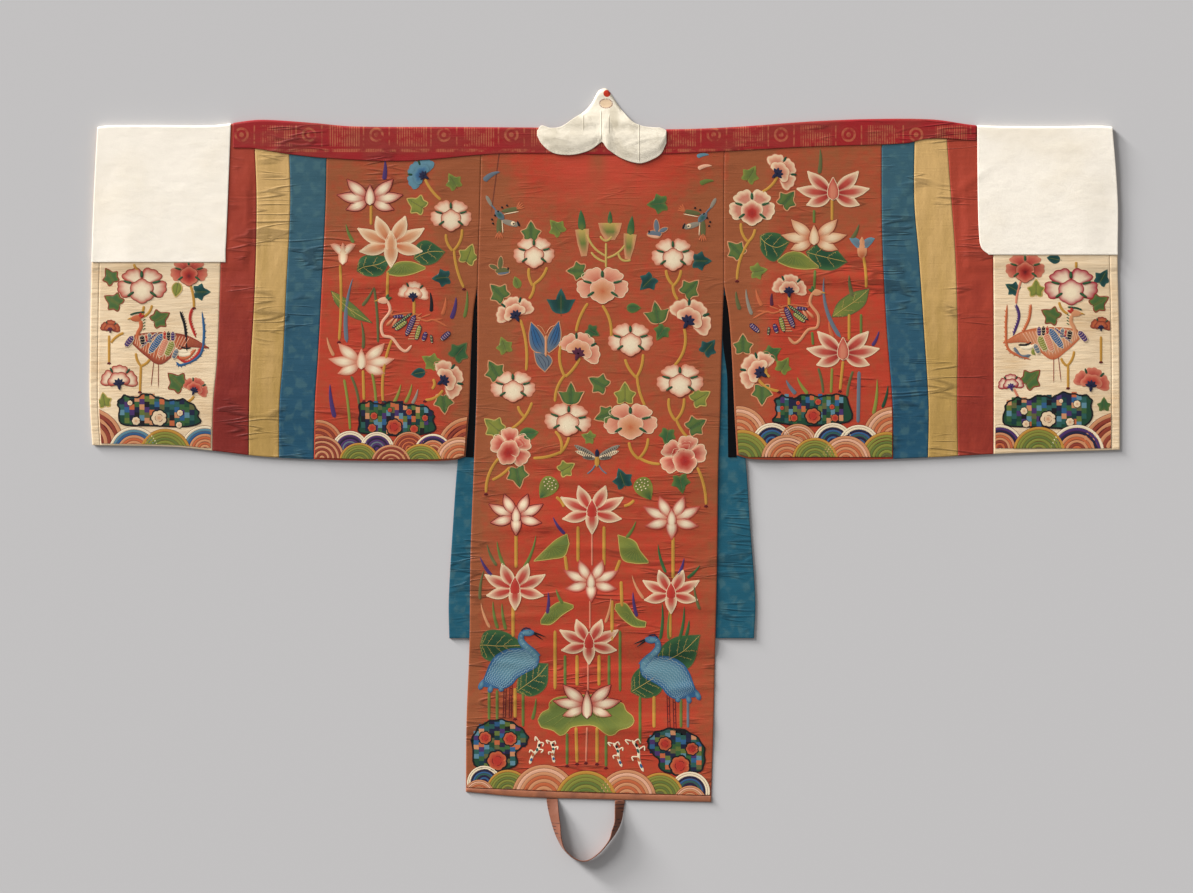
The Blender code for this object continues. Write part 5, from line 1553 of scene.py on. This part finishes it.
# the left sleeve: lotuses above, a phoenix, a pond plant, a rock and waves
LEFT_SLEEVE = """
stem gold 1.4: 425 179 441 200 -.06, 446 234 453 251 -.12, 462 229 453 251 .12, 454 250 464 288 -.05, 388 272 387 300,
    340 264 339 341 .02, 414 300 414 317, 363 370 364 400, 392 339 383 402 -.06, 433 379 432 389 .2,
    443 390 425 400 .14, 371 205 371 225;
stem moss 1.3: 351 376 359 405 .05, 374 287 378 343 .02;
stem lime 1.3: 344 379 350 430 .02, 372 373 376 402 .02;
grass lime 1.6: 393 404 401 384 -.05, 405 403 412 384 -.05;
grass violet 2.2: 384 180 385 160 -.04, 335 418 330 384 .04, 451 319 456 297 -.06;
grass leaf 1.7: 354 243 346 224 .06, 464 318 467 290 -.05;
grass grey_blue 2.1: 347 343 353 278 .06;
grass moss 1.6: 362 306 374 287 -.05, 363 349 361 321 -.05;
grass tan 1.6: 334 356 327 337 .05;
grass grey 1.6: 412 404 418 389 -.05;
grass black 1.8: 431 312 430 292 -.05;
grass orange 1.8: 442 315 446 297 -.06;
roots: 464 288, 339 341, 364 400, 383 402, 425 400;
veined 4: 357 271 361 258 374 255 391 258, 357 271 368 276 382 274 391 258, 414 259 417 245 428 241 445 252,
    414 259 424 265 436 262 445 252;
veined 4 lime leaf leaf: 331 291 343 297 357 308 372 323, 331 291 337 305 352 317 372 323;
lily: 387 272 397 263 411 262 425 267, 387 274 399 276 412 274 425 269;
ivy light: 453 181 16 30, 430 361 17 60;
ivy lime: 416 204 18 60, 469 254 18 -20;
ivy dark: 441 278 17 95;
ivy deep: 460 351 18 -40;
plain dark: 419 373 15 100;
ivy edged: 444 404 18 185;
low_lotus dark_edge: 370 197 30;
lotus tan: 391 242 33;
low_lotus soft: 361.5 361 30;
peony white: 451 216 21 0 .8;
side blue navy: 424 176 17 60;
side white navy: 413 297 16 0;
side faded navy: 443 381 21 -59;
bud cream white pink white cream pink: 343 252 15;
phoenix sleeve pale_pink pale_pink: 400 330;
rock 5 4.2 6 red: 359 404 370 401 380 404 393 401 407 404 425 406 433 412 434 419 429 434 364 434 359 420,
    374 416 3.5, 390 410 2.2, 409 412 3, 425 418 3, 394 427 7.5, 372 428 4, 414 429 4;
waves 459.5: orange 318 445 25, orange 470 450 33, ink 350 449 18, ink 377 449 17, orange 409 449 17,
    violet 433 453 19, brown 322 458 22, pink 460 462 25, green 359 463 20, green 421 465 21, brown 391 465 20;"""
# the right sleeve: like the left one mirrored, with other flowers
RIGHT_SLEEVE = """
stem gold 1.4: 778 175 762 192 .1, 741 223 748 242 -.12, 755 229 748 242 .1, 750 240 737 280 -.08, 832 199 832 221,
    863 255 866 288 .03, 789 294 789 316, 766 368 770 377 -.2, 757 377 779 391 -.14, 849 314 849 340, 843 361 840 390;
stem leaf 1.3: 814 210 814 223, 815 270 814 291, 861 314 861 335, 812 332 813 345;
stem lime 1.3: 832 368 831 393;
stem moss 1.3: 818 368 823 393 .04, 853 371 847 397 -.04;
stem grey_blue 1.8: 859 371 858 423;
grass moss 2: 819 174 820 149 -.04, 851 240 859 224 -.06, 853 297 849 275 .05, 740 310 736 291 .05;
grass grey_blue 2: 841 338 824 277 .1, 796 394 786 380 .05;
grass orange 1.8: 762 306 756 289 .06, 833 338 829 321 .05;
grass grey 1.8: 752 315 746 289 .05;
grass plum 1.7: 772 306 772 293 .05;
grass violet 1.6: 872 346 879 331 -.06;
grass lime 1.7: 873 415 877 379 -.04, 808 394 797 377 .05;
grass dark_green 1.6: 882 408 888 385 -.05;
roots: 737 280, 779 391, 840 390;
veined 4: 760 236 768 233 779 234 790 241, 760 236 762 252 775 261 790 241, 806 252 819 244 834 248 847 262,
    806 252 814 266 832 270 847 262;
veined 4 lime leaf leaf: 832 317 838 303 852 293 869 289, 832 317 849 315 864 305 869 289;
lily: 778 260 788 253 801 253 818 266, 778 262 790 267 804 269 818 268;
ivy light: 751 174 17 -30, 759 271 16 -80, 784 365 16 -30;
ivy edged: 788 199 18 -40, 735 249 18 45, 743 344 18 0, 762 395 19 180;
ivy green: 773 353 17 -60;
low_lotus pink: 833 191 33, 843 351 33;
low_lotus straw: 814 237 30;
peony scarlet: 752 208 23 0 .83;
side faded navy: 777 174 20 -52, 789 292 18 0, 761 373 22 56;
bud sky grey_blue sky orange tan tan: 862 246 15;
phoenix sleeve tan tan flip: 800 322;
stem dark_red .5: 739.5 425 740 457, 740 457 888 457, 888 457 888.5 408;
rock 6 4.2 6 red: 774 400 782 395 792 398 805 394 820 396 835 394 847 398 847 423 778 424 776 412, 813 416 7.5,
    794 418 3.5, 782 408 2, 798 403 2, 832 407 2.5, 835 418 3.5, 818 402 3;
waves 457: pink 738 436 30, pink 893 437 30, blue 772 443 20, pink 798 443 19, blue 833 443 20, blue 859 446 21,
    green 742 459 29, green 887 459 27, pink 787 461 26, pink 846 461 25, green 815 461 23;"""
# the left cuff: peonies and a phoenix over a rock and waves
LEFT_CUFF = """
stem gold 1.3: 134 264 139 271 -.1, 190 284 194 308 .05, 152 305 143 317 .14, 144 306 142 317, 136 353 141 366 -.1,
    150 359 141 366 .1, 141 365 140 392, 109 335 109 363, 111 343 124 333 .1, 194 396 187 402 .1;
roots: 194 307, 140 391, 109 362;
ivy rimmed: 110 276 15 30, 113 301 17 60, 161 318 17 -60, 176 381 19 45;
plain lime: 177 289 14 170;
ivy dark: 202 292 16 -90;
ivy lime: 104 400 13 10;
peony cuff: 142 286 25 0 .76;
peony red: 189 272 19 0 .8;
side ember plum: 110 330 10 0;
side cuff navy: 119 384 19 5;
side red navy: 194 391 14 -20;
stem black .5: 207.5 436 207.5 449;
phoenix cuff orange brown_red: 159 343, black 1.3 21 32 26 16 28 -8, red 1.3 33 35 31 23 37 5,
    blue 1.3 43 32 45 10 41 -12 23 -22 17 -19, orange 1.3 17 -15 28 -15 37 -6, white 1.5 15 -3 20 -8 29 -9,
    black .9 18 -1 25 -5 32 -5, white 1.6 16 -8 23 -12 33 -11, red 1.2 16 -12 27 -19 38 -12 42 -4;
rock 7 5 5.4 cream: 117 402 124 395 135 397 146 393 158 397 172 400 184 399 196 407 199 416 194 426 125 425 119 411,
    130 403 2.5, 180 413 3, 136 421 4, 159 418 7.5, 179 425 3;
waves 448: brown 88 443 35, teal 205 450 24, teal 134 452 25, green 165 455 26;"""
# the right cuff: like the left one mirrored, with a paler bird
RIGHT_CUFF = """
stem gold 1.3: 1076 262 1076 268, 1059 302 1068 314 -.14, 1061 358 1067 366 -.1, 1074 351 1067 366 .1,
    1068 365 1068 388, 1101 336 1101 362;
stem pink 1.2: 1022 279 1016 304 -.05, 1014 389 1018 397;
roots: 1068 387, 1101 361;
ivy rimmed: 1100 302 17 -60, 1050 315 17 60, 1032 378 19 -45;
plain dark: 1054 259 14 80;
ivy dark: 1103 277 16 -30, 1012 288 14 60;
ivy lime: 1036 288 15 0;
ivy green: 1104 404 13 0;
peony red: 1025 268 20 0 .8;
peony crimson: 1071 287 27 0 .72;
side ember navy: 1101 328 11 0;
side red navy: 1091 386 19 -5;
side crimson violet: 1011 387 13 10;
phoenix cuff tan orange flip: 1053 338, orange 1.3 46 34 47 8 44 -12 22 -22, violet 1.3 37 34 34 21 40 2,
    orange 1.3 22 34 24 19 31 4, grey_blue 1.3 39 -9 32 -18 22 -17, white 1.6 16 -5 24 -10 33 -9,
    black .9 20 -3 27 -7 35 -7, lime 1.1 15 -9 20 -13 18 -17;
rock 8 5 5.4 cream: 1006 403 1017 397 1027 399 1040 395 1052 397 1062 392 1076 394 1089 396 1092 406 1083 427
    1009 426 1004 412,
    1024 411 3.5, 1061 401 2, 1077 404 3.5, 1048 419 7.5, 1026 424 3.5, 1070 422 4;
waves 448.5: violet 1000 448 23, brown 1118 449 36, violet 1077 452 27, green 1039 453 26;"""

# what sews each motif that stands at a spot, with its size and turn
SPOTS = {
    "roots": roots, "ivy": leaf, "maple": leaf, "plain": leaf, "lotus": lotus, "low_lotus": lotus, "bud": lotus_bud,
    "pod": lotus_pod, "cup": bud_cup, "peony": peony, "side": side_peony, "fungus": fungus, "heron": heron,
    "bird": small_bird, "moth": moth, "dragonfly": dragonfly, "feelers": feelers}
# what sews the others, and how many rows it takes at a time, 0 for all
RUNS = {"stem": (stem, 1), "grass": (stem, 1), "veined": (veined_leaf, 2), "lily": (lotus_leaf, 2),
        "wing": (wing, 2), "phoenix": (phoenix, 0), "rock": (rock, 0), "waves": (waves, 0)}


def embroider(name, keep_in, layout):
    """Sews what a layout says on one panel, as one piece."""
    chart = Chart(keep_in)
    for statement in layout.split(";")[:-1]:
        head, rows = statement.split(":")
        words, rows = head.split(), rows_of(rows)
        if words[0] in SPOTS:
            for x, y, *row in rows:
                size, angle, *more = row + [1.0, 0.0][len(row):]
                SPOTS[words[0]](Motif(chart, at(x, y), size, angle, "flip" in words), words, *more)
        else:
            sewn, many = RUNS[words[0]]
            many = many or len(rows)
            for start in range(0, len(rows), many):
                sewn(chart, words, *rows[start:start + many])
    chart.finished(name)


# how far the stitches stay inside a panel's edges, and below the shoulder line
SIDE_CLEAR, NEAR_CLEAR, FAR_CLEAR, HEM_CLEAR, EDGE_CLEAR = 0.0022, 0.0030, 0.0020, 0.0032, 0.0012
STITCH_TOP = 0.004


def held_between(left, right, top, bottom):
    """Keeps stitches of one panel inside its edges, given as functions of drop and of x."""
    def keep_in(x, drop):
        drop = np.clip(drop, top, bottom(x))
        return np.clip(x, left(drop), right(drop)), drop
    return keep_in


def body_panel():
    """Inside the seams with the sleeves and below them inside the back's own sides."""
    left, right = side_curves(BODY_SIDE, "left", SIDE_CLEAR), side_curves(BODY_SIDE, "right", -SIDE_CLEAR)
    return held_between(left, right, STITCH_TOP, moved(back_hem, -EDGE_CLEAR))


def outer_panel(sign, name, near, far, top):
    """A panel of a sleeve between two signed lines: just inside both and the hem."""
    sides = ordered(sign, moved(near, sign * NEAR_CLEAR), moved(far, -sign * FAR_CLEAR))
    return held_between(*sides, top, moved(curve(HEMS[name], "drop", "x"), -HEM_CLEAR))


def make_embroidery():
    """All the satin stitch, one piece for each panel."""
    embroider("body_embroidery", body_panel(), BODY)
    layouts = (LEFT_SLEEVE, LEFT_CUFF), (RIGHT_SLEEVE, RIGHT_CUFF)
    for (letter, name, sign), (sleeve, cuff) in zip(SIDES, layouts):
        seam, blue, *_, stripe, edge, _ = sleeve_lines(name)
        panel = outer_panel(sign, name, seam, blue, STITCH_TOP)
        embroider("sleeve_embroidery_" + letter, panel, sleeve)
        panel = outer_panel(sign, name, stripe, edge, COVER_DEPTH[name] + EDGE_CLEAR)
        embroider("cuff_embroidery_" + letter, panel, cuff)


# ---------------------------------------------------------------- stage
FLOOR_REACH = 9.0             # of the floor from the middle to each side
CAMERA_PLACE = (-0.0162, 0.0501, 5.805)


def make_stage():
    """A plain pale floor, soft studio light from the upper left and a camera straight above."""
    sizes, tones = robe_sizes(), robe_colours()
    finish = Finish("Pale floor", Specular_IOR_Level=0.2)
    finish.set(Base_Color=tuple(tones.floor), Roughness=0.9)
    corners = np.array([(-1, -1, 0), (1, -1, 0), (1, 1, 0), (-1, 1, 0)], float) * FLOOR_REACH
    floor = make_object("floor", corners, [(0, 1, 2, 3)], finish.material)
    world = bpy.data.worlds.new("Studio")
    world.use_nodes = True
    world.node_tree.nodes["Background"].inputs["Color"].default_value = (1, 1, 1, 1)
    world.node_tree.nodes["Background"].inputs["Strength"].default_value = sizes.fill_light
    bpy.context.scene.world = world
    turn = math.radians(sizes.light_from)
    for name, power, spread, height in (("Soft key", sizes.key_light, 24, 25), ("Low light", sizes.low_light, 12, 10)):
        lamp = bpy.data.lights.new(name, "SUN")
        lamp.energy, lamp.angle = power, math.radians(spread)
        thing = bpy.data.objects.new(name, lamp)
        bpy.context.scene.collection.objects.link(thing)
        rise = math.radians(height)
        ray = Vector((math.cos(turn) * math.cos(rise), math.sin(turn) * math.cos(rise), -math.sin(rise)))
        thing.rotation_euler = ray.to_track_quat("-Z", "Y").to_euler()
    camera = bpy.data.objects.new("Camera", bpy.data.cameras.new("Camera"))
    camera.data.lens, camera.data.sensor_width = 100.0, 36.0
    camera.location = CAMERA_PLACE
    bpy.context.scene.collection.objects.link(camera)
    bpy.context.scene.camera = camera
    bpy.context.scene.view_settings.view_transform = "Standard"


# ---------------------------------------------------------------- settings, operators, panel
def tone(name, description, colour):
    return bpy.props.FloatVectorProperty(
        name=name, description=description, default=linear(colour), size=3, subtype="COLOR", min=0.0, max=1.0)


class RobeColours(bpy.types.PropertyGroup):
    """Colours of the robe's cloths."""

    red: tone("Red", "Satin of the body and sleeves", (181, 57, 33))
    bright_red: tone("Bright red", "Satin under the collar, which kept its colour", (188, 66, 44))
    aged_red_and_fold_shade: tone("Browned red", "Satin where it has aged", (150, 80, 44))
    crimson: tone("Crimson", "Band over the shoulders", (150, 14, 20))
    crimson_worn: tone("Worn crimson", "Band where it is rubbed", (140, 36, 28))
    gold: tone("Gold leaf", "Pattern on the band", (196, 120, 78))
    # the aged red, also used for the painted shade of the folds below the collar
    stripe_red: tone("Stripe red", "Red stripe at the shoulder", (164, 58, 36))
    stripe_red_low: tone("Stripe red, low", "Red stripe at the hem", (126, 30, 20))
    yellow: tone("Yellow", "Yellow stripe at the shoulder", (206, 166, 104))
    yellow_low: tone("Yellow, low", "Yellow stripe at the hem", (178, 142, 76))
    blue: tone("Blue", "Blue stripe at the shoulder", (48, 88, 102))
    blue_low: tone("Blue, low", "Blue stripe at the hem", (20, 74, 98))
    blue_bloom: tone("Blue figure", "Figured pattern in the blue silks", (76, 112, 114))
    lining: tone("Lining", "Blue lining of the fronts", (16, 84, 104))
    white: tone("White", "Cotton of the covers", (252, 242, 226))
    white_aged: tone("Aged white", "Cotton where it has yellowed", (240, 226, 202))
    cover: tone("Collar cotton", "Cotton over the collar", (239, 228, 207))
    # aged collar cotton, also used for the painted shade in its pleats and beside its fold
    cover_aged_and_shade: tone("Aged collar cotton", "Collar cotton in its pleats", (206, 194, 170))
    cream: tone("Cream", "Satin of the cuffs", (234, 208, 171))
    cream_aged: tone("Aged cream", "Cuffs where they have browned", (206, 168, 120))
    # black of the strips under the arms, which stand in for the shade in the slits: painted shade
    black: tone("Black", "Strips under the arms", (14, 13, 15))
    binding: tone("Binding", "Hem binding and loop", (160, 92, 56))
    binding_dark: tone("Dark binding", "Binding where it is soiled", (120, 66, 42))
    loop: tone("Loop", "Ribbon of the loop", (122, 68, 43))
    floor: tone("Floor", "Floor that the robe lies on", (196, 194, 194))


class RobeSizes(bpy.types.PropertyGroup):
    """Sizes and lights that can be changed."""

    crease_depth: bpy.props.FloatProperty(
        name="Crease depth", description="Strength of the sharper creases", default=1.3, min=0.0, max=2.5,
        subtype="FACTOR")
    relief: bpy.props.FloatProperty(
        name="Embroidery relief", description="Height of the satin stitches over the silk",
        default=0.0003, min=0.0001, max=0.002, unit="LENGTH")
    fill_light: bpy.props.FloatProperty(
        name="Fill light", description="Strength of the light from all round", default=0.33, min=0.0, max=2.0)
    key_light: bpy.props.FloatProperty(
        name="Key light", description="Strength of the soft light from the upper left", default=2.9, min=0.0, max=9.0)
    low_light: bpy.props.FloatProperty(
        name="Low light", description="Strength of the low light that models the cloth", default=4.6, min=0.0, max=9.0)
    light_from: bpy.props.FloatProperty(
        name="Light from", description="Turn of both lights round the upright", default=-42.0, min=-180.0,
        max=180.0)


class ROBE_OT_stage(bpy.types.Operator):
    """The pale floor, the lights and the camera"""
    bl_idname = "robe.stage"
    bl_label = "Stage"

    def execute(self, context):
        make_stage()
        return {"FINISHED"}


class ROBE_OT_sleeves(bpy.types.Operator):
    """The panels, stripes, cuffs and bound edges of both sleeves"""
    bl_idname = "robe.sleeves"
    bl_label = "Sleeves"

    def execute(self, context):
        make_sleeves()
        return {"FINISHED"}


class ROBE_OT_back(bpy.types.Operator):
    """The long back panel"""
    bl_idname = "robe.back"
    bl_label = "Back panel"

    def execute(self, context):
        make_back()
        return {"FINISHED"}


class ROBE_OT_fronts(bpy.types.Operator):
    """The two fronts with their lining, and the black strips under the arms that stand in for the shade in the slits"""
    bl_idname = "robe.fronts"
    bl_label = "Fronts"

    def execute(self, context):
        make_fronts()
        return {"FINISHED"}


class ROBE_OT_bands(bpy.types.Operator):
    """The crimson band over the shoulders and the neck"""
    bl_idname = "robe.bands"
    bl_label = "Shoulder bands"

    def execute(self, context):
        make_bands()
        return {"FINISHED"}


class ROBE_OT_covers(bpy.types.Operator):
    """The white covers over the tops of the cuffs"""
    bl_idname = "robe.covers"
    bl_label = "Cuff covers"

    def execute(self, context):
        make_cuff_covers()
        return {"FINISHED"}


class ROBE_OT_collar(bpy.types.Operator):
    """The collar band and its white cover"""
    bl_idname = "robe.collar"
    bl_label = "Collar"

    def execute(self, context):
        make_collar()
        return {"FINISHED"}


class ROBE_OT_hem(bpy.types.Operator):
    """The bound hem and the ribbon loop under it"""
    bl_idname = "robe.hem"
    bl_label = "Hem and loop"

    def execute(self, context):
        make_hem()
        return {"FINISHED"}


class ROBE_OT_embroidery(bpy.types.Operator):
    """All the satin stitch on the back, the sleeves and the cuffs"""
    bl_idname = "robe.embroidery"
    bl_label = "Embroidery"

    def execute(self, context):
        make_embroidery()
        return {"FINISHED"}


OPERATORS = (ROBE_OT_stage, ROBE_OT_sleeves, ROBE_OT_back, ROBE_OT_fronts, ROBE_OT_bands, ROBE_OT_covers,
             ROBE_OT_collar, ROBE_OT_hem, ROBE_OT_embroidery)


class ROBE_PT_panel(bpy.types.Panel):
    """Lists the robe's pieces, and the sizes and colours behind them."""
    bl_label = "Korean Bridal Robe"
    bl_idname = "ROBE_PT_panel"
    bl_space_type = "VIEW_3D"
    bl_region_type = "UI"
    bl_category = "Robe"

    def draw(self, context):
        for made in OPERATORS:
            self.layout.operator(made.bl_idname)
        for group in (context.scene.robe_sizes, context.scene.robe_colours):
            box = self.layout.box()
            for name in group.__annotations__:
                box.prop(group, name)


CLASSES = (RobeSizes, RobeColours, *OPERATORS, ROBE_PT_panel)


def register():
    for made in CLASSES:
        bpy.utils.register_class(made)
    bpy.types.Scene.robe_sizes = bpy.props.PointerProperty(type=RobeSizes)
    bpy.types.Scene.robe_colours = bpy.props.PointerProperty(type=RobeColours)


def unregister():
    del bpy.types.Scene.robe_sizes, bpy.types.Scene.robe_colours
    for made in reversed(CLASSES):
        bpy.utils.unregister_class(made)


def main():
    register()
    for made in OPERATORS:
        group, name = made.bl_idname.split(".")
        getattr(getattr(bpy.ops, group), name)()


if __name__ == "__main__":
    main()
